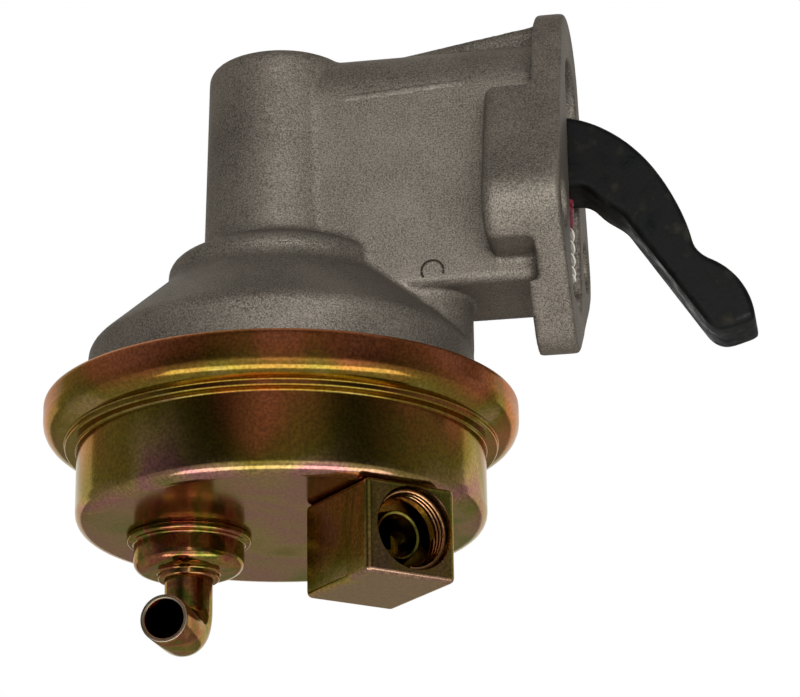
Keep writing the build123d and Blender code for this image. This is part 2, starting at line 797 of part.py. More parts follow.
# Fuel bowl: drawn steel, its rim stepped out, turned up and rolled over the casting
with BuildPart() as fuel_bowl:
    with BuildSketch(tower_plane):
        with BuildLine():
            FilletPolyline(
                (0, bowl_bottom),
                (bowl_radius, bowl_bottom),
                (bowl_radius, rim_bottom - bead_drop),
                (bead_radius, rim_bottom - bead_drop),
                (bead_radius, rim_bottom),
                (rim_radius, rim_bottom),
                (rim_radius, rim_top),
                (rim_radius - rim_lip_width, rim_top),
                (rim_radius - rim_lip_width, rim_top - sheet),
                (rim_radius - sheet, rim_top - sheet),
                (rim_radius - sheet, rim_bottom + sheet),
                (bowl_radius - sheet, rim_bottom + sheet),
                (bowl_radius - sheet, bowl_floor),
                (0, bowl_floor),
                radius=[
                    bowl_corner,
                    0.6,
                    0.5,
                    0.4,
                    rim_bottom_corner - 0.1,
                    rim_top_corner,
                    0.3,
                    0.3,
                    0.3,
                    0.3,
                    0.8,
                    bowl_corner - sheet,
                ],
            )
            Line((0, bowl_floor), (0, bowl_bottom))
        make_face()
    revolve(axis=tower_axis)
    with Locations((inlet_x, 0, bowl_floor)):
        Hole(inlet_hole_radius, depth=2 * sheet)
    with Locations((passage_centre.X, passage_centre.Y, bowl_floor)):
        Hole(port_passage_radius, depth=2 * sheet)
fuel_bowl.part.label = "fuel_bowl"
export_step(fuel_bowl.part, "parts/fuel_bowl.step")


# Inlet cup: drawn in steps, brazed under the bowl round the inlet hole
inlet_plane = Plane(origin=(inlet_x, 0, bowl_bottom), x_dir=(1, 0, 0), z_dir=(0, -1, 0))
with BuildPart() as inlet_cup:
    with BuildSketch(inlet_plane):
        with BuildLine():
            FilletPolyline(
                (inlet_hole_radius, 0),
                (cup_flange_radius, 0),
                (cup_flange_radius, -cup_flange),
                (cup_radius, -cup_flange),
                (cup_radius, -cup_height),
                (cup_collar_radius, -cup_height),
                (cup_collar_radius, -cup_height - cup_collar_height),
                (tube_radius, -cup_height - cup_collar_height),
                (tube_radius, cup_sheet - cup_height),
                (cup_radius - cup_sheet, cup_sheet - cup_height),
                (cup_radius - cup_sheet, -cup_sheet),
                (inlet_hole_radius, -cup_sheet),
                radius=[0.3, 0.6, 0.5, cup_corner, 0.5, 0.5, 0.2, 0.2, cup_corner - cup_sheet, 0.3],
            )
            Line((inlet_hole_radius, -cup_sheet), (inlet_hole_radius, 0))
        make_face()
    revolve(axis=Axis((inlet_x, 0, 0), (0, 0, 1)))
inlet_cup.part.label = "inlet_cup"
export_step(inlet_cup.part, "parts/inlet_cup.step")

# Inlet tube: steel tube bent through a tight elbow, its end level and bare for a hose
tube_turn = radians(tube_direction)
tube_end = Vector(
    inlet_x + tube_reach * cos(tube_turn),
    tube_reach * sin(tube_turn),
    tube_corner_level,
)
with BuildPart() as inlet_tube:
    with BuildLine() as tube_line:
        FilletPolyline(
            (inlet_x, 0, bowl_bottom - cup_height + cup_sheet),
            (inlet_x, 0, tube_corner_level),
            tube_end,
            radius=tube_bend_radius,
        )
    with BuildSketch(Plane(origin=tube_line.line @ 0, z_dir=tube_line.line % 0)):
        Circle(tube_radius)
        Circle(tube_radius - tube_wall, mode=Mode.SUBTRACT)
    sweep()
inlet_tube.part.label = "inlet_tube"
export_step(inlet_tube.part, "parts/inlet_tube.step")


# Outlet block: bar stock with the flared port in one end and a cross passage up into the bowl
with BuildPart() as outlet_block:
    with BuildSketch(Plane(origin=block_centre, x_dir=port_out, z_dir=(0, 0, 1)).offset(-block_height / 2)):
        Rectangle(block_length, block_width)
    extrude(amount=block_height)
    chamfer(outlet_block.edges(), length=block_chamfer)
    with BuildSketch(port_plane):
        Circle(port_relief_radius)
    extrude(amount=-port_depth, mode=Mode.SUBTRACT)
    with BuildSketch(port_plane):
        Circle(port_thread_radius)
    extrude(amount=port_seat_height - port_depth, mode=Mode.SUBTRACT)
    with BuildSketch(port_plane):
        Circle(port_mouth_radius)
    extrude(amount=-2 * (port_mouth_radius - port_thread_radius), taper=26.6, mode=Mode.SUBTRACT)
    with BuildSketch(port_plane.offset(-port_depth)):
        Circle(port_seat_base)
    with BuildSketch(port_plane.offset(port_seat_height - port_depth)):
        Circle(port_seat_tip)
    loft()
    with BuildSketch(port_plane.offset(port_seat_height - port_depth)):
        Circle(port_passage_radius)
    extrude(amount=-port_passage_length, mode=Mode.SUBTRACT)
    with BuildSketch(Plane(origin=(passage_centre.X, passage_centre.Y, block_centre.Z))):
        Circle(port_passage_radius)
    extrude(amount=block_height, mode=Mode.SUBTRACT)
outlet_block.part.label = "outlet_block"
export_step(outlet_block.part, "parts/outlet_block.step")
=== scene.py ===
from math import cos, pi, radians, sin, tan

import bmesh
import bpy
from mathutils import Matrix, Vector


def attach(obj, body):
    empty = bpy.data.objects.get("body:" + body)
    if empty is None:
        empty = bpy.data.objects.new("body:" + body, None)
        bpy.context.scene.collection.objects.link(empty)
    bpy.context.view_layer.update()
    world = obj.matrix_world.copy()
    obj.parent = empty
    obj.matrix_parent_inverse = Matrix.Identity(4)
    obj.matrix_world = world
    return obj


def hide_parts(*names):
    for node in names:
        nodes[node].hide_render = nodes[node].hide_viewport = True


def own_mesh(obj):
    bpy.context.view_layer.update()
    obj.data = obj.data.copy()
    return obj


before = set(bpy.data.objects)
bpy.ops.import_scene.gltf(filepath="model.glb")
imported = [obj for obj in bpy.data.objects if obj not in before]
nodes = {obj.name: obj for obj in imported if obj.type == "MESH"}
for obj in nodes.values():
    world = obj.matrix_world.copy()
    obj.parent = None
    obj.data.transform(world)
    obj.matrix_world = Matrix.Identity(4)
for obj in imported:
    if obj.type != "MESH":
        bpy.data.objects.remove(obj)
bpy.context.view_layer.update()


# The photograph's viewpoint.
# A long lens looks up at the pump from below the bowl, a little from the flange's side,
# with the picture turned by under a degree.
scene = bpy.context.scene
scene.view_settings.view_transform = "Standard"
lens = bpy.data.cameras.new("viewpoint")
lens.sensor_width = 36.0
lens.lens = 136.0
lens.clip_start = 0.05
viewpoint = bpy.data.objects.new("viewpoint", lens)
scene.collection.objects.link(viewpoint)
camera_place = (0.0582, -0.5639, -0.2239)
camera_heading = radians(9.5)
camera_pitch = radians(90 + 19.49)
picture_roll = -0.0141
turn = Matrix.Rotation(camera_heading, 4, "Z")
pitch = Matrix.Rotation(camera_pitch, 4, "X")
roll = Matrix.Rotation(picture_roll, 4, "Z")
viewpoint.matrix_world = Matrix.Translation(camera_place) @ turn @ pitch @ roll
scene.camera = viewpoint


# The studio: a pale floor well below the hanging pump, a white surround and plain soft lamps.
# The room behind the camera is dim, and a curtain stands for it: polished metal needs something
# dark to mirror, or its edges don't show.
def add_node(tree, kind, settings=None, **links):
    node = tree.nodes.new(kind)
    for key, value in (settings or {}).items():
        if hasattr(node, key):
            setattr(node, key, value)
        else:
            node.inputs[key].default_value = value
    for key, source in links.items():
        name = key.replace("_", " ")
        socket = node.inputs[int(key[1:])] if key[0] == "i" and key[1:].isdigit() else node.inputs[name]
        tree.links.new(source, socket)
    return node


def hex_colour(text):
    channels = [int(text[i:i + 2], 16) / 255 for i in (1, 3, 5)]
    return [c / 12.92 if c <= 0.04045 else ((c + 0.055) / 1.055) ** 2.4 for c in channels] + [1.0]


def fresh_material(name):
    material = bpy.data.materials.new(name)
    material.use_nodes = True
    material.node_tree.nodes.clear()
    return material, material.node_tree


def link_mesh(name, bm, material):
    mesh = bpy.data.meshes.new(name)
    bm.to_mesh(mesh)
    bm.free()
    mesh.materials.append(material)
    piece = bpy.data.objects.new(name, mesh)
    scene.collection.objects.link(piece)
    return piece


world = bpy.data.worlds.new("studio_air")
scene.world = world
world.use_nodes = True
air = world.node_tree
air.nodes.clear()
rays = add_node(air, "ShaderNodeLightPath")
mirrored = add_node(air, "ShaderNodeMath", {"operation": "MAXIMUM"},
                    i0=rays.outputs["Is Glossy Ray"], i1=rays.outputs["Is Transmission Ray"])
shown = add_node(air, "ShaderNodeMath", {"operation": "MAXIMUM"},
                 i0=rays.outputs["Is Camera Ray"], i1=mirrored.outputs[0])
lit = add_node(air, "ShaderNodeBackground", {"Color": hex_colour("#FFFFFF"), "Strength": 0.15})
seen = add_node(air, "ShaderNodeBackground", {"Color": hex_colour("#FFFFFF"), "Strength": 1.0})
which = add_node(air, "ShaderNodeMixShader", i0=shown.outputs[0], i1=lit.outputs[0], i2=seen.outputs[0])
add_node(air, "ShaderNodeOutputWorld", Surface=which.outputs[0])


# The floor shows paler than it lights, and polished metal mirrors it darker than the camera sees it.
floor_level = -0.36
floor_half_width = 2.5
floor_bm = bmesh.new()
bmesh.ops.create_grid(floor_bm, x_segments=1, y_segments=1, size=floor_half_width)
bmesh.ops.translate(floor_bm, verts=floor_bm.verts, vec=(0, 0, floor_level))
paper, paper_tree = fresh_material("pale_paper")
paper_rays = add_node(paper_tree, "ShaderNodeLightPath")
paper_mirrored = add_node(paper_tree, "ShaderNodeMath", {"operation": "MAXIMUM"},
                          i0=paper_rays.outputs["Is Glossy Ray"],
                          i1=paper_rays.outputs["Is Transmission Ray"])
paper_dim = add_node(paper_tree, "ShaderNodeMath", {"operation": "MULTIPLY"}, i0=paper_mirrored.outputs[0])
paper_dim.inputs[1].default_value = 0.1
paper_shown = add_node(paper_tree, "ShaderNodeMath", {"operation": "MULTIPLY_ADD"},
                       i0=paper_rays.outputs["Is Camera Ray"], i2=paper_dim.outputs[0])
paper_shown.inputs[1].default_value = 0.5
paper_shader = add_node(paper_tree, "ShaderNodeBsdfPrincipled",
                        {"Base Color": hex_colour("#DEDEDC"), "Roughness": 0.9,
                         "Emission Color": hex_colour("#FFFFFF")},
                        Emission_Strength=paper_shown.outputs[0])
add_node(paper_tree, "ShaderNodeOutputMaterial", Surface=paper_shader.outputs[0])
floor = link_mesh("floor", floor_bm, paper)

# The curtain is a bay round the camera's side, with a ceiling, and the camera doesn't see it.
# It glows a little right behind the camera, and more towards its two ends: a painted glow that stands for the
# dim room's light.
room_radius = 1.1
curtain_levels = (-0.30, 0.35, 1.0)
curtain_panels = 32
curtain_sweep = 250
bay = bmesh.new()
columns = []
for step in range(curtain_panels + 1):
    angle = radians(-90 - curtain_sweep / 2 + step * curtain_sweep / curtain_panels) + camera_heading
    columns.append([bay.verts.new((room_radius * cos(angle), room_radius * sin(angle), level))
                    for level in curtain_levels])
ceiling = bay.verts.new((0, 0.15, curtain_levels[-1] + 0.15))
for left, right in zip(columns, columns[1:]):
    bay.faces.new((left[0], right[0], right[1], left[1]))
    bay.faces.new((left[1], right[1], right[2], left[2]))
    bay.faces.new((left[2], right[2], ceiling))
felt, felt_tree = fresh_material("felt_glowing_in_places")
# depth runs from minus the room's radius behind the camera, through 0 at its sides,
# to the curtain's ends past the pump
depth = add_node(felt_tree, "ShaderNodeVectorMath", {"operation": "DOT_PRODUCT"},
                 i0=add_node(felt_tree, "ShaderNodeTexCoord").outputs["Object"])
depth.inputs[1].default_value = (-sin(camera_heading), cos(camera_heading), 0)
from_camera = add_node(felt_tree, "ShaderNodeMapRange", {"From Min": -room_radius, "From Max": 0.63},
                       Value=depth.outputs["Value"])
shade = add_node(felt_tree, "ShaderNodeValToRGB", Fac=from_camera.outputs[0])
shade.color_ramp.interpolation = "B_SPLINE"
shade_stops = shade.color_ramp.elements
for spot, level in ((0.0, 0.26), (0.035, 0.2), (0.09, 0.03), (0.25, 0.05), (0.5, 0.2), (1.0, 0.34)):
    if spot in (0.0, 1.0):
        stop = shade_stops[0 if spot == 0.0 else -1]
    else:
        stop = shade_stops.new(spot)
    # the painted glow of the felt is a little warm
    stop.color = (level, level * 0.97, level * 0.92, 1.0)
felt_glow = add_node(felt_tree, "ShaderNodeEmission", {"Strength": 1.0}, Color=shade.outputs["Color"])
add_node(felt_tree, "ShaderNodeOutputMaterial", Surface=felt_glow.outputs[0])
curtain = link_mesh("dark_curtain", bay, felt)
curtain.visible_camera = False
curtain.visible_shadow = False

# The key beside the lens and the side lamp light the casting, the forging and what is inside. The plated
# pieces are polished and would show them as hard squares, so they mirror the curtain and the low lamp,
# and the cup, the tube and the thread have a narrow lamp of their own. The back lamp lights the far side.
plated = bpy.data.collections.new("plated_pieces")
fittings = bpy.data.collections.new("plated_fittings")


def keep_off_key(piece):
    plated.objects.link(piece)
    plated.collection_objects[-1].light_linking.link_state = "EXCLUDE"


aim = Vector((-0.045, 0, -0.01))
for name, azimuth, elevation, distance, width, height, power in (
    ("lens_lamp", 14, -4, 0.8, 0.5, 0.2, 4.8),
    ("right_lamp", 60, 2, 1.0, 0.7, 0.7, 0.9),
    ("fitting_lamp", 12, -3, 0.9, 0.1, 0.35, 0.2),
    ("low_lamp", 10.5, -64, 0.28, 0.5, 0.09, 0.36),
    ("back_lamp", 195, 40, 1.2, 1.2, 0.8, 4.0),
):
    light = bpy.data.lights.new(name, "AREA")
    light.shape = "RECTANGLE"
    light.size = width
    light.size_y = height
    light.energy = power
    lamp = bpy.data.objects.new(name, light)
    az, el = radians(azimuth), radians(elevation)
    lamp.location = aim + distance * Vector((sin(az) * cos(el), -cos(az) * cos(el), sin(el)))
    lamp.rotation_euler = (aim - lamp.location).to_track_quat("-Z", "Y").to_euler()
    lamp.visible_glossy = name != "back_lamp"
    if name in ("lens_lamp", "right_lamp"):
        lamp.light_linking.receiver_collection = plated
    if name == "fitting_lamp":
        lamp.light_linking.receiver_collection = fittings
    scene.collection.objects.link(lamp)


# Upper body: one aluminium die casting, blasted after casting.
# Every edge is soft, the roots are filleted, and the skin is an even, fine, slightly sparkling grain,
# darker where oil has dried in it.
def cast_grain(name, pale, dark, grain_mm, depth_mm, rough, metallic):
    material, tree = fresh_material(name)
    place = add_node(tree, "ShaderNodeTexCoord").outputs["Object"]
    grit = add_node(tree, "ShaderNodeTexNoise", {"Scale": 1000 / grain_mm, "Detail": 3.0, "Roughness": 0.6},
                    Vector=place)
    # the oil's clouds are about 17 mm across, three of them to 50 mm
    cloud = add_node(tree, "ShaderNodeTexNoise", {"Scale": 3 * 1000 / 50, "Detail": 4.0, "Roughness": 0.6},
                     Vector=place)
    both = add_node(tree, "ShaderNodeMath", {"operation": "MULTIPLY_ADD"}, i0=cloud.outputs["Fac"],
                    i2=grit.outputs["Fac"])
    both.inputs[1].default_value = 0.3
    ramp = add_node(tree, "ShaderNodeValToRGB", Fac=both.outputs[0])
    ramp.color_ramp.elements[0].position = 0.5
    ramp.color_ramp.elements[0].color = hex_colour(dark)
    ramp.color_ramp.elements[1].position = 0.8
    ramp.color_ramp.elements[1].color = hex_colour(pale)
    bump = add_node(tree, "ShaderNodeBump", {"Strength": 0.5, "Distance": depth_mm / 1000},
                    Height=grit.outputs["Fac"])
    shader = add_node(
        tree, "ShaderNodeBsdfPrincipled",
        {"Metallic": metallic, "Roughness": rough, "Specular IOR Level": 0.25,
         "Specular Tint": hex_colour("#8A8478")},
        Base_Color=ramp.outputs["Color"], Normal=bump.outputs["Normal"],
    )
    add_node(tree, "ShaderNodeOutputMaterial", Surface=shader.outputs[0])
    return material


def soft_copy(node, name, voxel_mm, rounds, material, body, thin=None):
    # the copy is turned askew while it is remeshed, so that no edge runs along the voxels
    askew = Matrix.Rotation(0.61, 4, "X") @ Matrix.Rotation(0.47, 4, "Y") @ Matrix.Rotation(0.83, 4, "Z")
    mesh = nodes[node].data.copy()
    bm = bmesh.new()
    bm.from_mesh(mesh)
    bmesh.ops.remove_doubles(bm, verts=bm.verts, dist=1e-6)
    bm.to_mesh(mesh)
    bm.free()
    mesh.materials.clear()
    mesh.transform(askew)
    rough = bpy.data.objects.new(name + "_rough", mesh)
    scene.collection.objects.link(rough)
    skin = rough.modifiers.new("skin", "REMESH")
    skin.mode = "VOXEL"
    skin.voxel_size = voxel_mm / 1000
    flow = rough.modifiers.new("flow", "SMOOTH")
    flow.factor = 0.5
    flow.iterations = rounds
    ready = bpy.data.meshes.new_from_object(rough.evaluated_get(bpy.context.evaluated_depsgraph_get()))
    bpy.data.objects.remove(rough)
    ready.transform(askew.inverted())
    if thin:
        # a thin edge that runs across the voxels needs more smoothing than the rest
        bm = bmesh.new()
        bm.from_mesh(ready)
        loose = [v for v in bm.verts if thin(v.co * 1000)]
        for _ in range(16):
            bmesh.ops.smooth_vert(bm, verts=loose, factor=0.5, use_axis_x=True, use_axis_y=True,
                                  use_axis_z=True)
        bm.to_mesh(ready)
        bm.free()
    ready.name = name
    ready.materials.clear()
    ready.materials.append(material)
    ready.polygons.foreach_set("use_smooth", [True] * len(ready.polygons))
    piece = bpy.data.objects.new(name, ready)
    scene.collection.objects.link(piece)
    # flat faces need far fewer triangles than the voxels give them
    most_triangles = 190000
    if len(ready.polygons) * 2 > most_triangles:
        thinner = piece.modifiers.new("thinner", "DECIMATE")
        thinner.ratio = most_triangles / (len(ready.polygons) * 2)
        graph = bpy.context.evaluated_depsgraph_get()
        piece.data = bpy.data.meshes.new_from_object(piece.evaluated_get(graph))
        piece.modifiers.remove(thinner)
        piece.data.name = name
    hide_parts(node)
    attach(piece, body)
    return piece


def along_rib(at):
    # the gusset rib's edge, in millimetres
    return at.z > 41.6 and -45 < at.x < -6.8


die_cast = cast_grain("blasted_die_cast_aluminium", "#968E83", "#59534C", grain_mm=0.32, depth_mm=0.3,
                      rough=0.46, metallic=0.6)
soft_copy("upper_body", "pump_casting", voxel_mm=0.56, rounds=6, material=die_cast,
          body="housing", thin=along_rib)


# Marks of the die on the casting: the ring of an ejector pin low on the arm's near side, a dark raised ring
# whose colour is painted shade for the shadow in the pin's groove, and the parting line, where the two halves
# of the die met, along both upper edges of the arm.
def strand_tree(name, material):
    tree = bpy.data.node_groups.new(name, "GeometryNodeTree")
    tree.interface.new_socket("Geometry", in_out="INPUT", socket_type="NodeSocketGeometry")
    tree.interface.new_socket("Geometry", in_out="OUTPUT", socket_type="NodeSocketGeometry")
    width = tree.interface.new_socket("Half width", in_out="INPUT", socket_type="NodeSocketFloat")
    rise = tree.interface.new_socket("Half height", in_out="INPUT", socket_type="NodeSocketFloat")
    inlet = add_node(tree, "NodeGroupInput")
    outlet = add_node(tree, "NodeGroupOutput")
    path = add_node(tree, "GeometryNodeMeshToCurve", Mesh=inlet.outputs["Geometry"])
    facing = add_node(tree, "GeometryNodeSetCurveNormal", {"mode": "Z_UP"}, Curve=path.outputs[0])
    ring = add_node(tree, "GeometryNodeCurvePrimitiveCircle", {"Resolution": 10, "Radius": 1.0})
    flat = add_node(tree, "ShaderNodeCombineXYZ", {"Z": 1.0}, X=inlet.outputs["Half width"],
                    Y=inlet.outputs["Half height"])
    oval = add_node(tree, "GeometryNodeTransform", Geometry=ring.outputs["Curve"], Scale=flat.outputs[0])
    body = add_node(tree, "GeometryNodeCurveToMesh", {"Fill Caps": True}, Curve=facing.outputs[0],
                    Profile_Curve=oval.outputs[0])
    solid = add_node(tree, "GeometryNodeRealizeInstances", Geometry=body.outputs[0])
    skin = add_node(tree, "GeometryNodeSetMaterial", {"Material": material}, Geometry=solid.outputs[0])
    tree.links.new(skin.outputs[0], outlet.inputs[0])
    return tree, width.identifier, rise.identifier


def grown(piece, tree, settings):
    maker = piece.modifiers.new("maker", "NODES")
    maker.node_group = tree
    for key, value in settings.items():
        maker[key] = value
    ready = bpy.data.meshes.new_from_object(piece.evaluated_get(bpy.context.evaluated_depsgraph_get()))
    piece.modifiers.remove(maker)
    piece.data = ready
    ready.name = piece.name
    ready.polygons.foreach_set("use_smooth", [True] * len(ready.polygons))
    return piece


def strand(name, points_mm, half_width_mm, half_height_mm, material):
    tree, width, rise = strand_tree(name + "_maker", material)
    bm = bmesh.new()
    verts = [bm.verts.new(Vector(point) / 1000) for point in points_mm]
    for one, two in zip(verts, verts[1:]):
        bm.edges.new((one, two))
    piece = link_mesh(name, bm, material)
    return grown(piece, tree, {width: half_width_mm / 1000, rise: half_height_mm / 1000})


arm_side = 12.2
mark_centre = (-27.4, -10.1)
mark_radius = 2.2
ring_points = []
# a part of the ring is worn away
for step in range(25):
    angle = radians(-20 + step * 235 / 24)
    ring_points.append((mark_centre[0] + mark_radius * cos(angle), -arm_side,
                        mark_centre[1] + mark_radius * sin(angle)))
# the ring's dark colour is painted shade, standing for the shadow in the pin's groove
groove_shade_cast = cast_grain("painted_shade_in_the_mark", "#464038", "#24211D", grain_mm=0.4, depth_mm=0.2, rough=0.6,
                        metallic=0.0)
ejector_mark = strand("ejector_mark", ring_points, half_width_mm=0.1, half_height_mm=0.26,
                      material=groove_shade_cast)
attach(ejector_mark, "housing")

# the parting line is rubbed flash, and its lighter tone is partly a painted highlight along the arm's upper
# edge
rubbed_and_highlit_cast = cast_grain("rubbed_die_cast_with_painted_highlight", "#968F84", "#625C54", grain_mm=0.4, depth_mm=0.2,
                         rough=0.46, metallic=0.5)
seam_start = (-44.6, 28.6)
seam_length = 24.0
seam_rise = 1.45
for side, name in ((-1, "parting_line_near"), (1, "parting_line_far")):
    # the line wanders by about a tenth of a millimetre and fades into the wall at its far end
    seam_points = []
    for step in range(21):
        share = step / 20
        out = arm_side + 0.08 * sin(step * 1.9) - 0.1 * share
        level = seam_start[1] + seam_rise * share + 0.12 * sin(step * 2.7)
        seam_points.append((seam_start[0] + seam_length * share, side * out, level))
    seam = strand(name, seam_points, half_width_mm=0.14, half_height_mm=0.75, material=rubbed_and_highlit_cast)
    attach(seam, "housing")


# Oil seal under the arm's floor and the plate that holds it up, pressed into the partition.
# The seal is moulded nitrile rubber, and the plate is stamped from cold-rolled sheet.
def bare_steel(name, pale, dark, rough):
    # cold-rolled sheet and turned bar: fine drawing lines and a faint grey cloud
    material, tree = fresh_material(name)
    place = add_node(tree, "ShaderNodeTexCoord").outputs["Object"]
    spread = add_node(tree, "ShaderNodeMapping", {"Scale": (1.0, 1.0, 6.0)}, Vector=place)
    lines = add_node(tree, "ShaderNodeTexNoise", {"Scale": 1000 / 0.8, "Detail": 3.0},
                     Vector=spread.outputs[0])
    cloud = add_node(tree, "ShaderNodeTexNoise", {"Scale": 1000 / 9, "Detail": 4.0}, Vector=place)
    ramp = add_node(tree, "ShaderNodeValToRGB", Fac=cloud.outputs["Fac"])
    ramp.color_ramp.elements[0].position = 0.35
    ramp.color_ramp.elements[0].color = hex_colour(dark)
    ramp.color_ramp.elements[1].position = 0.65
    ramp.color_ramp.elements[1].color = hex_colour(pale)
    worn = add_node(tree, "ShaderNodeMapRange", {"To Min": rough - 0.06, "To Max": rough + 0.1},
                    Value=cloud.outputs["Fac"])
    bump = add_node(tree, "ShaderNodeBump", {"Strength": 0.2, "Distance": 0.00003},
                    Height=lines.outputs["Fac"])
    shader = add_node(tree, "ShaderNodeBsdfPrincipled", {"Metallic": 1.0}, Base_Color=ramp.outputs["Color"],
                      Roughness=worn.outputs[0], Normal=bump.outputs["Normal"])
    add_node(tree, "ShaderNodeOutputMaterial", Surface=shader.outputs[0])
    return material


def moulded_rubber(name, colour, dust):
    # nitrile rubber: black with a grey bloom, and the fine sparked texture of its mould
    material, tree = fresh_material(name)
    place = add_node(tree, "ShaderNodeTexCoord").outputs["Object"]
    bloom = add_node(tree, "ShaderNodeTexNoise", {"Scale": 1000 / 4, "Detail": 4.0}, Vector=place)
    grit = add_node(tree, "ShaderNodeTexNoise", {"Scale": 1000 / 0.3, "Detail": 2.0}, Vector=place)
    ramp = add_node(tree, "ShaderNodeValToRGB", Fac=bloom.outputs["Fac"])
    ramp.color_ramp.elements[0].position = 0.4
    ramp.color_ramp.elements[0].color = hex_colour(colour)
    ramp.color_ramp.elements[1].position = 0.8
    ramp.color_ramp.elements[1].color = hex_colour(dust)
    bump = add_node(tree, "ShaderNodeBump", {"Strength": 0.3, "Distance": 0.00005},
                    Height=grit.outputs["Fac"])
    shader = add_node(tree, "ShaderNodeBsdfPrincipled", {"Roughness": 0.65, "IOR": 1.52},
                      Base_Color=ramp.outputs["Color"], Normal=bump.outputs["Normal"])
    add_node(tree, "ShaderNodeOutputMaterial", Surface=shader.outputs[0])
    return material


def dress(material, *names):
    for name in names:
        for place in nodes[name].material_slots:
            place.material = material


nitrile = moulded_rubber("moulded_nitrile_rubber", "#131313", "#2C2B29")
stamped_steel = bare_steel("stamped_cold_rolled_steel", "#A3A19B", "#7F7C76", rough=0.34)
turned_steel = bare_steel("turned_free_cutting_steel", "#B4B1AA", "#8E8B85", rough=0.26)
dress(nitrile, "oil_seal", "riser_gasket", "inlet_valve_disc", "outlet_valve_disc")
dress(stamped_steel, "seal_retainer")


# Pull rod with its diaphragm plates: a turned rod, riveted over through two pressed plates and a washer.
# The spring seat is a cup washer that rests on the rod's collar.
dress(turned_steel, "pull_rod", "rod_washer")
dress(stamped_steel, "upper_protector", "lower_protector", "spring_seat")


# Diaphragm: woven cloth coated with nitrile rubber on both sides, clamped in the rolled rim.
# It is moulded with a slack cone between its flat centre and the rim, and flexes there.
def rounded(points, radii, steps=6):
    outline = []
    for index, (point, radius) in enumerate(zip(points, radii)):
        here = Vector(point)
        if not radius:
            outline.append(here)
            continue
        before = (Vector(points[index - 1]) - here).normalized()
        after = (Vector(points[(index + 1) % len(points)]) - here).normalized()
        half = before.angle(after) / 2
        reach = radius / tan(half)
        centre = here + (before + after).normalized() * radius / sin(half)
        start = here + before * reach - centre
        end = here + after * reach - centre
        sweep = start.angle(end)
        for step in range(steps + 1):
            share = step / steps
            blend = (start * sin((1 - share) * sweep) + end * sin(share * sweep)) / sin(sweep)
            outline.append(centre + blend)
    # a guard point close to each end of a straight run keeps the shading of the run flat
    guarded = []
    for one, two in zip(outline, outline[1:] + outline[:1]):
        guarded.append(one)
        if (two - one).length > 1.5 and max(one.x, two.x) > 2:
            step = (two - one).normalized() * 0.2
            guarded += [one + step, two - step]
    return guarded


def lathe(name, axis_mm, outline_mm, segments, material):
    # outline_mm is a closed outline of radius and level, with at most two points on the axis
    bm = bmesh.new()
    rings = []
    for radius, level in outline_mm:
        if radius < 1e-6:
            pole = bm.verts.new(Vector((axis_mm[0], axis_mm[1], level)) / 1000)
            rings.append([pole] * segments)
            continue
        rings.append([
            bm.verts.new(Vector((axis_mm[0] + radius * cos(2 * pi * k / segments),
                                 axis_mm[1] + radius * sin(2 * pi * k / segments), level)) / 1000)
            for k in range(segments)
        ])
    for low, high in zip(rings, rings[1:] + rings[:1]):
        for k in range(segments):
            corners = [low[k], low[(k + 1) % segments], high[(k + 1) % segments], high[k]]
            corners = list(dict.fromkeys(corners))
            if len(corners) > 2:
                bm.faces.new(corners)
    bmesh.ops.recalc_face_normals(bm, faces=bm.faces)
    piece = link_mesh(name, bm, material)
    piece.data.polygons.foreach_set("use_smooth", [True] * len(piece.data.polygons))
    piece.data.set_sharp_from_angle(angle=radians(40))
    return piece


def stand_for(piece, node, body):
    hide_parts(node)
    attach(piece, body)
    return piece


tower_x = -60.4
rim_bottom = -40.9
sheet = 1.2
clamp_radius = 36.0
diaphragm_level = -42.3
cloth_thickness = 1.2
cloth_radius = 46.1
rod_hole = 2.6
plate_radius = 27.5
valve_body_edge = 1.4
clamp_top = rim_bottom + sheet + valve_body_edge + cloth_thickness

coated, coated_tree = fresh_material("rubber_coated_cloth")
coated_place = add_node(coated_tree, "ShaderNodeTexCoord").outputs["Object"]
# the weave's threads are 0.6 mm apart and show faintly through the rubber
weave = add_node(coated_tree, "ShaderNodeTexWave", {"Scale": 2 * pi / 0.6 * 1000 / 20}, Vector=coated_place)
stain = add_node(coated_tree, "ShaderNodeTexNoise", {"Scale": 1000 / 6, "Detail": 3.0}, Vector=coated_place)
coat = add_node(coated_tree, "ShaderNodeValToRGB", Fac=stain.outputs["Fac"])
coat.color_ramp.elements[0].color = hex_colour("#151514")
coat.color_ramp.elements[1].color = hex_colour("#2B2A27")
coat_bump = add_node(coated_tree, "ShaderNodeBump", {"Strength": 0.3, "Distance": 0.00005},
                     Height=weave.outputs["Fac"])
coat_shader = add_node(coated_tree, "ShaderNodeBsdfPrincipled", {"Roughness": 0.6, "IOR": 1.52},
                       Base_Color=coat.outputs["Color"], Normal=coat_bump.outputs["Normal"])
add_node(coated_tree, "ShaderNodeOutputMaterial", Surface=coat_shader.outputs[0])

cloth_outline = rounded(
    [(rod_hole, diaphragm_level), (plate_radius, diaphragm_level),
     (clamp_radius, clamp_top), (cloth_radius, clamp_top),
     (cloth_radius, clamp_top - cloth_thickness), (clamp_radius, clamp_top - cloth_thickness),
     (plate_radius, diaphragm_level - cloth_thickness), (rod_hole, diaphragm_level - cloth_thickness)],
    [0, 2.0, 2.0, 0.2, 0.2, 2.0, 2.0, 0],
)
diaphragm = lathe("coated_diaphragm", (tower_x, 0), cloth_outline, segments=128, material=coated)
stand_for(diaphragm, "diaphragm", "housing")
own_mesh(diaphragm)


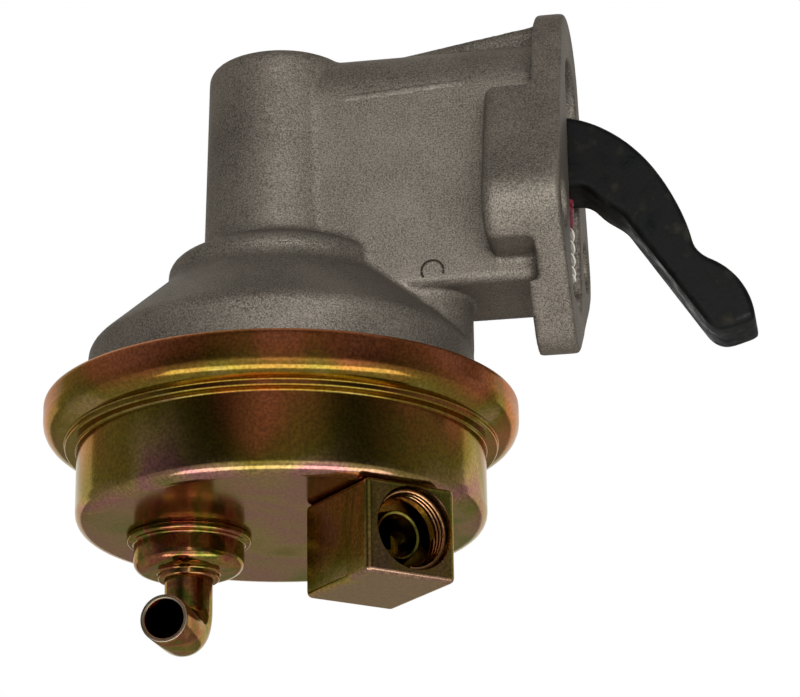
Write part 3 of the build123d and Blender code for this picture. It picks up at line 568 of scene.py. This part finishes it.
# Diaphragm spring: plain carbon-steel wire, wound with closed ends, between the rod's seat and
# the tower's roof.
# The coil maker also winds the return spring, the valve springs and the port's thread.
def coil_tree(name, material):
    tree = bpy.data.node_groups.new(name, "GeometryNodeTree")
    tree.interface.new_socket("Geometry", in_out="OUTPUT", socket_type="NodeSocketGeometry")
    keys = {}
    for label, kind in (("Mean radius", "Float"), ("Wire radius", "Float"), ("Height", "Float"),
                        ("Turns", "Float"), ("Closed turns", "Float"), ("Wire sides", "Int")):
        keys[label] = tree.interface.new_socket(label, in_out="INPUT",
                                                socket_type="NodeSocket" + kind).identifier
    sizes = add_node(tree, "NodeGroupInput").outputs
    helix = add_node(tree, "GeometryNodeCurveSpiral", {"Resolution": 40, "Height": 0.0},
                     Rotations=sizes["Turns"], Start_Radius=sizes["Mean radius"],
                     End_Radius=sizes["Mean radius"])
    along = add_node(tree, "GeometryNodeSplineParameter").outputs["Factor"]
    turned = add_node(tree, "ShaderNodeMath", {"operation": "MULTIPLY"}, i0=along,
                      i1=sizes["Turns"]).outputs[0]
    wire = add_node(tree, "ShaderNodeMath", {"operation": "MULTIPLY"}, i0=sizes["Wire radius"])
    wire.inputs[1].default_value = 2.0
    closed = add_node(tree, "ShaderNodeMath", {"operation": "MULTIPLY"}, i0=wire.outputs[0],
                      i1=sizes["Closed turns"]).outputs[0]
    last = add_node(tree, "ShaderNodeMath", {"operation": "SUBTRACT"}, i0=sizes["Turns"],
                    i1=sizes["Closed turns"]).outputs[0]
    inner = add_node(tree, "ShaderNodeMath", {"operation": "SUBTRACT"}, i0=sizes["Height"],
                     i1=wire.outputs[0]).outputs[0]
    both = add_node(tree, "ShaderNodeMath", {"operation": "MULTIPLY"}, i0=closed)
    both.inputs[1].default_value = 2.0
    open_rise = add_node(tree, "ShaderNodeMath", {"operation": "SUBTRACT"}, i0=inner,
                         i1=both.outputs[0]).outputs[0]
    first_part = add_node(tree, "ShaderNodeMapRange", Value=turned, From_Max=sizes["Closed turns"],
                          To_Max=closed).outputs[0]
    open_part = add_node(tree, "ShaderNodeMapRange", Value=turned, From_Min=sizes["Closed turns"],
                         From_Max=last, To_Max=open_rise).outputs[0]
    last_part = add_node(tree, "ShaderNodeMapRange", Value=turned, From_Min=last, From_Max=sizes["Turns"],
                         To_Max=closed).outputs[0]
    lower = add_node(tree, "ShaderNodeMath", {"operation": "ADD"}, i0=first_part, i1=open_part).outputs[0]
    upper = add_node(tree, "ShaderNodeMath", {"operation": "ADD"}, i0=lower, i1=last_part).outputs[0]
    level = add_node(tree, "ShaderNodeMath", {"operation": "ADD"}, i0=upper,
                     i1=sizes["Wire radius"]).outputs[0]
    lift = add_node(tree, "ShaderNodeCombineXYZ", Z=level).outputs[0]
    wound = add_node(tree, "GeometryNodeSetPosition", Geometry=helix.outputs[0], Offset=lift)
    facing = add_node(tree, "GeometryNodeSetCurveNormal", {"mode": "Z_UP"}, Curve=wound.outputs[0])
    round_wire = add_node(tree, "GeometryNodeCurvePrimitiveCircle", Resolution=sizes["Wire sides"],
                          Radius=sizes["Wire radius"])
    body = add_node(tree, "GeometryNodeCurveToMesh", {"Fill Caps": True}, Curve=facing.outputs[0],
                    Profile_Curve=round_wire.outputs["Curve"])
    solid = add_node(tree, "GeometryNodeRealizeInstances", Geometry=body.outputs[0])
    skin = add_node(tree, "GeometryNodeSetMaterial", {"Material": material}, Geometry=solid.outputs[0])
    outlet = add_node(tree, "NodeGroupOutput")
    tree.links.new(skin.outputs[0], outlet.inputs[0])
    return tree, keys


def coil(name, place_mm, radius_mm, wire_mm, height_mm, turns, closed_turns, sides, material, axes=None):
    tree, keys = coil_tree(name + "_winder", material)
    piece = link_mesh(name, bmesh.new(), material)
    grown(piece, tree, {
        keys["Mean radius"]: radius_mm / 1000, keys["Wire radius"]: wire_mm / 1000,
        keys["Height"]: height_mm / 1000,
        keys["Turns"]: float(turns), keys["Closed turns"]: float(closed_turns), keys["Wire sides"]: sides,
    })
    piece.data.transform(Matrix.Translation(Vector(place_mm) / 1000) @ (axes or Matrix()))
    return piece


spring_wire = bare_steel("oil_tempered_spring_wire", "#8B8781", "#5F5B55", rough=0.3)
seat_top = 21.65
tower_roof = 37.0
diaphragm_coil = coil("diaphragm_coil", (tower_x, 0, seat_top), radius_mm=8.6, wire_mm=0.9,
                      height_mm=tower_roof - seat_top, turns=5.5, closed_turns=0.9, sides=12,
                      material=spring_wire)
stand_for(diaphragm_coil, "diaphragm_spring", "housing")
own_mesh(diaphragm_coil)


# Valve body: a steel stamping clamped under the diaphragm, with two staked-in valves.
# Each valve is a turned brass cage with a rubber disc, a fine steel spring and a press-on clip.
def drawn_brass(name):
    # turned brass, dulled by fuel to a brownish yellow
    material, tree = fresh_material(name)
    place = add_node(tree, "ShaderNodeTexCoord").outputs["Object"]
    cloud = add_node(tree, "ShaderNodeTexNoise", {"Scale": 1000 / 5, "Detail": 4.0}, Vector=place)
    ramp = add_node(tree, "ShaderNodeValToRGB", Fac=cloud.outputs["Fac"])
    ramp.color_ramp.elements[0].color = hex_colour("#7B5F34")
    ramp.color_ramp.elements[1].color = hex_colour("#B3924F")
    worn = add_node(tree, "ShaderNodeMapRange", {"To Min": 0.22, "To Max": 0.42},
                    Value=cloud.outputs["Fac"])
    shader = add_node(tree, "ShaderNodeBsdfPrincipled", {"Metallic": 1.0},
                      Base_Color=ramp.outputs["Color"], Roughness=worn.outputs[0])
    add_node(tree, "ShaderNodeOutputMaterial", Surface=shader.outputs[0])
    return material


dress(stamped_steel, "valve_body", "inlet_riser")
dress(drawn_brass("fuel_dulled_brass"), "inlet_valve_cage", "inlet_valve_clip", "outlet_valve_cage",
      "outlet_valve_clip")
valve_offset = 18.8
valve_room = 3.35
inlet_clip = -48.9
outlet_clip = -52.6
# the inlet's spring hangs under its clip, and the outlet's stands on its clip
for side, valve_x, clip_face, base in (("inlet", tower_x - valve_offset, inlet_clip, inlet_clip - valve_room),
                                       ("outlet", tower_x + valve_offset, outlet_clip, outlet_clip)):
    valve_coil = coil(side + "_valve_coil", (valve_x, 0, base), radius_mm=3.0, wire_mm=0.25,
                      height_mm=valve_room, turns=5.0, closed_turns=0.8, sides=8, material=spring_wire)
    stand_for(valve_coil, side + "_valve_spring", "housing")
    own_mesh(valve_coil)


# Fuel bowl: drawn steel sheet, zinc plated and yellow chromated, its rim rolled over the casting.
# The chromate film is glossy and thin, and as its thickness wanders the bronze turns to olive, green
# and rose. Its clear surface makes the highlights a little paler.
def chromate(name, colours, scale_mm, smear, rough, drain=0.0, under=0.0, span=(0.3, 0.7), rolled=0.0):
    # drain is how far the film runs along its colours for each metre of height, as the bath drained off,
    # and under is the same for faces that look down; rolled is the roughness that the rollers left on the rim
    material, tree = fresh_material(name)
    place = add_node(tree, "ShaderNodeTexCoord").outputs["Object"]
    centred = add_node(tree, "ShaderNodeMapping", {"Location": (0.0604, 0, 0)}, Vector=place)
    spread = add_node(tree, "ShaderNodeMapping", {"Scale": smear}, Vector=centred.outputs[0])
    drift = add_node(tree, "ShaderNodeTexNoise",
                     {"Scale": 1000 / scale_mm, "Detail": 2.0, "Roughness": 0.5, "Distortion": 0.4},
                     Vector=spread.outputs[0])
    height = add_node(tree, "ShaderNodeSeparateXYZ", Vector=place).outputs["Z"]
    # the colours are set for the middle of the bowl's side, 50 mm below the frame's origin
    above = add_node(tree, "ShaderNodeMath", {"operation": "ADD"}, i0=height)
    above.inputs[1].default_value = 0.05
    run = add_node(tree, "ShaderNodeMath", {"operation": "MULTIPLY_ADD"}, i0=above.outputs[0],
                   i2=drift.outputs["Fac"])
    run.inputs[1].default_value = drain
    facing = add_node(tree, "ShaderNodeSeparateXYZ",
                      Vector=add_node(tree, "ShaderNodeNewGeometry").outputs["Normal"])
    down = add_node(tree, "ShaderNodeMath", {"operation": "MINIMUM"}, i0=facing.outputs["Z"])
    down.inputs[1].default_value = 0.0
    wet = add_node(tree, "ShaderNodeMath", {"operation": "MULTIPLY_ADD"}, i0=down.outputs[0],
                   i2=run.outputs[0])
    wet.inputs[1].default_value = under
    film = add_node(tree, "ShaderNodeValToRGB", Fac=wet.outputs[0])
    stops = film.color_ramp.elements
    for index, colour in enumerate(colours):
        spot = span[0] + (span[1] - span[0]) * index / (len(colours) - 1)
        stop = stops[0] if index == 0 else stops[-1] if index == len(colours) - 1 else stops.new(spot)
        stop.position = spot
        stop.color = hex_colour(colour)
    # fine mottle of the zinc's crystals under the film, about 0.6 mm across
    mottle = add_node(tree, "ShaderNodeTexNoise", {"Scale": 1000 / 0.6, "Detail": 2.0}, Vector=place)
    fade = add_node(tree, "ShaderNodeMapRange",
                    {"From Min": 0.35, "From Max": 0.65, "To Min": 0.72, "To Max": 1.2},
                    Value=mottle.outputs["Fac"])
    tinted = add_node(tree, "ShaderNodeVectorMath", {"operation": "SCALE"}, i0=film.outputs["Color"],
                      Scale=fade.outputs[0])
    sheen = add_node(tree, "ShaderNodeMapRange", {"To Min": rough - 0.03, "To Max": rough + 0.05},
                     Value=mottle.outputs["Fac"])
    # the rollers dulled the rim, from 2.4 mm above its underside upwards
    dulled = add_node(tree, "ShaderNodeMapRange",
                      {"From Min": -0.0385, "From Max": -0.0355, "To Max": rolled}, Value=height)
    gloss = add_node(tree, "ShaderNodeMath", {"operation": "ADD"}, i0=sheen.outputs[0],
                     i1=dulled.outputs[0])
    bump = add_node(tree, "ShaderNodeBump", {"Strength": 0.12, "Distance": 0.00002},
                    Height=mottle.outputs["Fac"])
    shader = add_node(tree, "ShaderNodeBsdfPrincipled",
                      {"Metallic": 1.0, "Specular Tint": hex_colour("#D8CCAC"), "Coat Weight": 0.25,
                       "Coat Roughness": 0.12}, Base_Color=tinted.outputs[0],
                      Roughness=gloss.outputs[0], Normal=bump.outputs["Normal"])
    add_node(tree, "ShaderNodeOutputMaterial", Surface=shader.outputs[0])
    return material


def apply_all(piece):
    ready = bpy.data.meshes.new_from_object(piece.evaluated_get(bpy.context.evaluated_depsgraph_get()))
    piece.modifiers.clear()
    piece.data = ready
    ready.name = piece.name


def carve(piece, *cutters):
    for cutter in cutters:
        cut = piece.modifiers.new("cut", "BOOLEAN")
        cut.operation = "DIFFERENCE"
        cut.solver = "EXACT"
        cut.object = cutter
    apply_all(piece)
    piece.data.polygons.foreach_set("use_smooth", [True] * len(piece.data.polygons))
    piece.data.set_sharp_from_angle(angle=radians(32))
    even = piece.modifiers.new("even", "WEIGHTED_NORMAL")
    even.keep_sharp = True
    apply_all(piece)
    for cutter in cutters:
        bpy.data.objects.remove(cutter)
    return piece


bowl_colours = ("#6E7A20", "#A88060", "#AC7470", "#A88C54", "#847222", "#926824", "#BC6C3C", "#CC7850")
bowl_film = chromate("yellow_chromate_on_drawn_steel", bowl_colours, scale_mm=24, smear=(1.0, 1.0, 0.6),
                     rough=0.15, drain=16.0, under=0.15, span=(0.05, 0.75), rolled=0.22)
bowl_radius = 40.8
bead_radius = 43.2
bead_bottom = rim_bottom - 1.3
rim_radius = 47.5
rim_top = -32.1
lip_radius = 43.6
bowl_bottom = -58.3
bowl_outline = rounded(
    [(0, bowl_bottom), (bowl_radius, bowl_bottom),
     (bowl_radius, bead_bottom), (bead_radius, bead_bottom),
     (bead_radius, rim_bottom), (rim_radius, rim_bottom),
     (rim_radius, rim_top), (lip_radius, rim_top), (lip_radius, rim_top - sheet),
     (rim_radius - sheet, rim_top - sheet), (rim_radius - sheet, rim_bottom + sheet),
     (bowl_radius - sheet, rim_bottom + sheet), (bowl_radius - sheet, bowl_bottom + sheet),
     (0, bowl_bottom + sheet)],
    [0, 3.2, 0.6, 0.5, 0.4, 4.2, 1.5, 0.3, 0.3, 0.3, 0.3, 0.8, 2.0, 0],
)
bowl = lathe("drawn_bowl", (tower_x, 0), bowl_outline, segments=192, material=bowl_film)

# the floor has two holes, one over the inlet cup and one over the outlet block's passage
inlet_x = tower_x - valve_offset
inlet_hole = 6.5
block_turn = radians(-48.7)
port_out = Vector((cos(block_turn), sin(block_turn), 0))
port_across = Vector((-sin(block_turn), cos(block_turn), 0))
block_height = 18.4
block_centre = Vector((tower_x + 23.0, -19.1, bowl_bottom - block_height / 2))
port_shift = 0.7
passage = block_centre + port_across * port_shift - port_out * 4.0
passage_radius = 3.6


def drill(name, x_mm, y_mm, radius_mm, low_mm, high_mm):
    outline = [(0, low_mm), (radius_mm, low_mm), (radius_mm, high_mm), (0, high_mm)]
    return lathe(name, (x_mm, y_mm), outline, segments=48, material=bowl_film)


carve(bowl, drill("inlet_drill", inlet_x, 0, inlet_hole, bowl_bottom - 1, bowl_bottom + 3),
      drill("outlet_drill", passage.x, passage.y, passage_radius, bowl_bottom - 1, bowl_bottom + 3))
stand_for(bowl, "fuel_bowl", "housing")
keep_off_key(bowl)


# Inlet cup and elbow: a cup drawn in steps and brazed under the bowl, and a bent 3/8 inch steel tube.
# Both were plated with the bowl, so the same film covers them, in smaller patches.
cup_film = chromate("yellow_chromate_on_fittings",
                    ("#8A4C2C", "#A07C3C", "#6A7022", "#A87844", "#94503E", "#786020", "#505E22"),
                    scale_mm=9, smear=(1.0, 1.0, 1.0), rough=0.13)
cup_radius = 11.0
cup_inside = 10.0
cup_flange = 12.4
collar_radius = 6.1
tube_radius = 4.76
tube_wall = 0.85
flange_under = bowl_bottom - 1.5
cup_bottom = bowl_bottom - 7.4
collar_bottom = bowl_bottom - 9.0
tube_top = bowl_bottom - 6.4
cup_roof = bowl_bottom - 1.0
cup_outline = rounded(
    [(inlet_hole, bowl_bottom), (cup_flange, bowl_bottom), (cup_flange, flange_under),
     (cup_radius, flange_under), (cup_radius, cup_bottom),
     (collar_radius, cup_bottom), (collar_radius, collar_bottom),
     (tube_radius, collar_bottom), (tube_radius, tube_top),
     (cup_inside, tube_top), (cup_inside, cup_roof), (inlet_hole, cup_roof)],
    [0, 0.3, 0.7, 0.55, 2.3, 0.5, 0.5, 0.2, 0.2, 1.3, 0.3, 0],
)
cup = lathe("drawn_cup", (inlet_x, 0), cup_outline, segments=96, material=cup_film)
stand_for(cup, "inlet_cup", "housing")
keep_off_key(cup)
fittings.objects.link(cup)


def bent_tube(name, corner_mm, start_level, reach_mm, direction, bend_mm, outer_mm, wall_mm, segments,
              material):
    out = Vector((cos(direction), sin(direction), 0))
    side = Vector((-sin(direction), cos(direction), 0))
    corner = Vector(corner_mm)
    stations = [(Vector((corner.x, corner.y, start_level)), Vector((0, 0, -1)))]
    pivot = corner + Vector((0, 0, bend_mm)) + out * bend_mm
    for step in range(17):
        angle = step / 16 * pi / 2
        stations.append((pivot - out * bend_mm * cos(angle) - Vector((0, 0, bend_mm)) * sin(angle),
                         Vector((0, 0, -cos(angle))) + out * sin(angle)))
    lip = 0.22
    end = corner + out * reach_mm
    skin = [(where, ahead, outer_mm) for where, ahead in stations]
    skin += [(end - out * lip, out, outer_mm), (end - out * lip * 0.3, out, outer_mm - lip * 0.3),
             (end, out, outer_mm - lip)]
    skin += [(end, out, outer_mm - wall_mm + lip), (end - out * lip, out, outer_mm - wall_mm)]
    skin += [(where, ahead, outer_mm - wall_mm) for where, ahead in reversed(stations)]
    bm = bmesh.new()
    rings = []
    for where, ahead, radius in skin:
        up = side.cross(ahead)
        rings.append([bm.verts.new((where
                                    + radius * (side * cos(2 * pi * k / segments)
                                                + up * sin(2 * pi * k / segments))) / 1000)
                      for k in range(segments)])
    for low, high in zip(rings, rings[1:] + rings[:1]):
        for k in range(segments):
            bm.faces.new((low[k], low[(k + 1) % segments], high[(k + 1) % segments], high[k]))
    bmesh.ops.recalc_face_normals(bm, faces=bm.faces)
    piece = link_mesh(name, bm, material)
    piece.data.polygons.foreach_set("use_smooth", [True] * len(piece.data.polygons))
    piece.data.set_sharp_from_angle(angle=radians(50))
    return piece


# the tube's end was sawn after it was bent, and took less of the film
sawn_end = bare_steel("sawn_tube_end", "#C4B49C", "#9A8A72", rough=0.4)
tube_corner = Vector((inlet_x, 0, -78.8))
tube_heading = radians(-93)
tube_reach = 16.4
elbow = bent_tube("elbow_tube", tube_corner, tube_top, tube_reach, tube_heading, bend_mm=5.3,
                  outer_mm=tube_radius, wall_mm=tube_wall, segments=48, material=cup_film)
elbow.data.materials.append(sawn_end)
sawn_side = Vector((cos(tube_heading), sin(tube_heading), 0))
last_of_tube = tube_corner.dot(sawn_side) + tube_reach - 0.3
for face in elbow.data.polygons:
    if face.normal.dot(sawn_side) > 0.6 and face.center.dot(sawn_side) * 1000 > last_of_tube:
        face.material_index = 1
stand_for(elbow, "inlet_tube", "housing")
keep_off_key(elbow)
fittings.objects.link(elbow)


# Outlet block: a length of square steel bar, drilled and tapped for an inverted-flare fitting, and brazed on.
# It is plated with the bowl, its edges are broken, and the thread's ridges catch the light in the port; their
# film is also painted paler than the block's, a painted highlight for the light inside the port.
block_film = chromate("yellow_chromate_on_bar_steel",
                      ("#A8846C", "#B49450", "#8A8430", "#B89A64", "#B08A6C"), scale_mm=14,
                      smear=(1.0, 1.0, 0.5), rough=0.17, under=0.25)
block_length = 23.2
block_width = 19.5
block_axes = Matrix((port_out, port_across, Vector((0, 0, 1)))).transposed().to_4x4()
bar_bm = bmesh.new()
bmesh.ops.create_cube(bar_bm, size=1.0)
bmesh.ops.scale(bar_bm, verts=bar_bm.verts, vec=Vector((block_length, block_width, block_height)) / 1000)
bmesh.ops.transform(bar_bm, verts=bar_bm.verts, matrix=Matrix.Translation(block_centre / 1000) @ block_axes)
block = link_mesh("tapped_block", bar_bm, block_film)
broken = block.modifiers.new("broken_edges", "BEVEL")
broken.width = 0.0012
broken.segments = 4
port_rise = 0.5
port_centre = (block_centre + port_out * (block_length / 2) + port_across * port_shift
               + Vector((0, 0, port_rise)))
port_axes = Matrix((port_across, Vector((0, 0, 1)), port_out)).transposed().to_4x4()
# the bore's outline runs from the mouth's bevel to the thread's end, round the flare's seat and down its hole
bore = lathe("port_bore", (0, 0), [
    (0, 1), (8.7, 1), (7.6, -1.2), (7.6, -6), (7.0, -6), (7.0, -11),
    (5.8, -11), (4.9, -6.4), (4.6, -6), (4.2, -6.2), (4.0, -14), (0, -14),
], segments=96, material=block_film)
bore.data.transform(Matrix.Translation(port_centre / 1000) @ port_axes)
carve(block, bore, drill("cross_drill", passage.x, passage.y, passage_radius, block_centre.z,
                         bowl_bottom + 1))
stand_for(block, "outlet_block", "housing")
keep_off_key(block)

thread_pitch = 1.411
thread_length = 4.6
thread_radius = 7.68
ridge_radius = 0.68
thread_start = 1.3
# the thread's paler film is a painted highlight that brightens the inside of the port
thread_film_painted_bright = chromate("yellow_chromate_painted_bright_on_thread", ("#C08450", "#D8A878", "#C89060"), scale_mm=6,
                       smear=(1.0, 1.0, 1.0), rough=0.2)
thread = coil("port_thread", port_centre - port_out * (thread_length + thread_start),
              radius_mm=thread_radius, wire_mm=ridge_radius, height_mm=thread_length + 0.3,
              turns=thread_length / thread_pitch, closed_turns=0.02, sides=4, material=thread_film_painted_bright,
              axes=port_axes)
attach(thread, "housing")
keep_off_key(thread)
fittings.objects.link(thread)


# Pivot pin, its plug and the link lever: a ground pin, a pressed-in plug and a stamped fork.
# The fork turns on the pin beside the rocker's hub and lifts the rod by its collar.
dress(turned_steel, "pivot_pin", "pin_plug")
dress(stamped_steel, "link_lever")


# Rocker arm: a steel forging, blackened and oiled.
# Its skin is smooth but uneven, and it is rubbed to a duller brown grey in patches.
def black_forging(name):
    material, tree = fresh_material(name)
    place = add_node(tree, "ShaderNodeTexCoord").outputs["Object"]
    scale = add_node(tree, "ShaderNodeTexNoise", {"Scale": 1000 / 5, "Detail": 5.0, "Roughness": 0.6},
                     Vector=place)
    grit = add_node(tree, "ShaderNodeTexNoise", {"Scale": 1000 / 0.7, "Detail": 3.0}, Vector=place)
    ramp = add_node(tree, "ShaderNodeValToRGB", Fac=scale.outputs["Fac"])
    ramp.color_ramp.elements[0].position = 0.35
    ramp.color_ramp.elements[0].color = hex_colour("#060808")
    ramp.color_ramp.elements[1].position = 0.7
    ramp.color_ramp.elements[1].color = hex_colour("#0F110E")
    rubbed = add_node(tree, "ShaderNodeMapRange", {"From Min": 0.58, "From Max": 0.72, "To Max": 0.6},
                      Value=scale.outputs["Fac"])
    worn = add_node(tree, "ShaderNodeMix", {"data_type": "RGBA"}, i0=rubbed.outputs[0],
                    i6=ramp.outputs["Color"])
    worn.inputs[7].default_value = hex_colour("#332F27")
    sheen = add_node(tree, "ShaderNodeMapRange",
                     {"From Min": 0.35, "From Max": 0.65, "To Min": 0.35, "To Max": 0.75},
                     Value=scale.outputs["Fac"])
    bump = add_node(tree, "ShaderNodeBump", {"Strength": 0.4, "Distance": 0.0001},
                    Height=grit.outputs["Fac"])
    shader = add_node(tree, "ShaderNodeBsdfPrincipled", {"Specular IOR Level": 0.15},
                      Base_Color=worn.outputs[2], Roughness=sheen.outputs[0], Normal=bump.outputs["Normal"])
    add_node(tree, "ShaderNodeOutputMaterial", Surface=shader.outputs[0])
    return material


soft_copy("rocker_arm", "rocker_forging", voxel_mm=0.36, rounds=4,
          material=black_forging("black_oxide_on_forged_steel"), body="rocker")


# Return spring: bright wire with closed ends, under the rocker's neck, its top coils dabbed with red paint.
# The paint is the mark that tells its strength.
marked, marked_tree = fresh_material("spring_wire_dabbed_red")
marked_place = add_node(marked_tree, "ShaderNodeTexCoord").outputs["Object"]
heights = add_node(marked_tree, "ShaderNodeSeparateXYZ", Vector=marked_place)
blotch = add_node(marked_tree, "ShaderNodeTexNoise", {"Scale": 1000 / 3, "Detail": 3.0},
                  Vector=marked_place)
ragged = add_node(marked_tree, "ShaderNodeMath", {"operation": "MULTIPLY_ADD"}, i0=blotch.outputs["Fac"],
                  i2=heights.outputs["Z"])
ragged.inputs[1].default_value = 0.003
painted = add_node(marked_tree, "ShaderNodeMapRange", {"From Min": 0.0022, "From Max": 0.0030},
                   Value=ragged.outputs[0])
wire_colour = add_node(marked_tree, "ShaderNodeMix", {"data_type": "RGBA"}, i0=painted.outputs[0])
wire_colour.inputs[6].default_value = hex_colour("#C9C2B6")
wire_colour.inputs[7].default_value = hex_colour("#7A0F26")
bare = add_node(marked_tree, "ShaderNodeMapRange", {"To Min": 1.0, "To Max": 0.0}, Value=painted.outputs[0])
wire_rough = add_node(marked_tree, "ShaderNodeMapRange", {"To Min": 0.25, "To Max": 0.5},
                      Value=painted.outputs[0])
marked_shader = add_node(marked_tree, "ShaderNodeBsdfPrincipled", Base_Color=wire_colour.outputs[2],
                         Metallic=bare.outputs[0], Roughness=wire_rough.outputs[0])
add_node(marked_tree, "ShaderNodeOutputMaterial", Surface=marked_shader.outputs[0])
arm_floor = -10.4
neck_underside = 8.0
# the neck tilts over the coil, so its lower side sets how far the coil is pressed
coil_x = -7.2
return_coil = coil("return_coil", (coil_x, 0, arm_floor), radius_mm=6.2, wire_mm=0.8,
                   height_mm=neck_underside - arm_floor, turns=7.0, closed_turns=1.0, sides=14,
                   material=marked)
stand_for(return_coil, "return_spring", "housing")
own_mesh(return_coil)
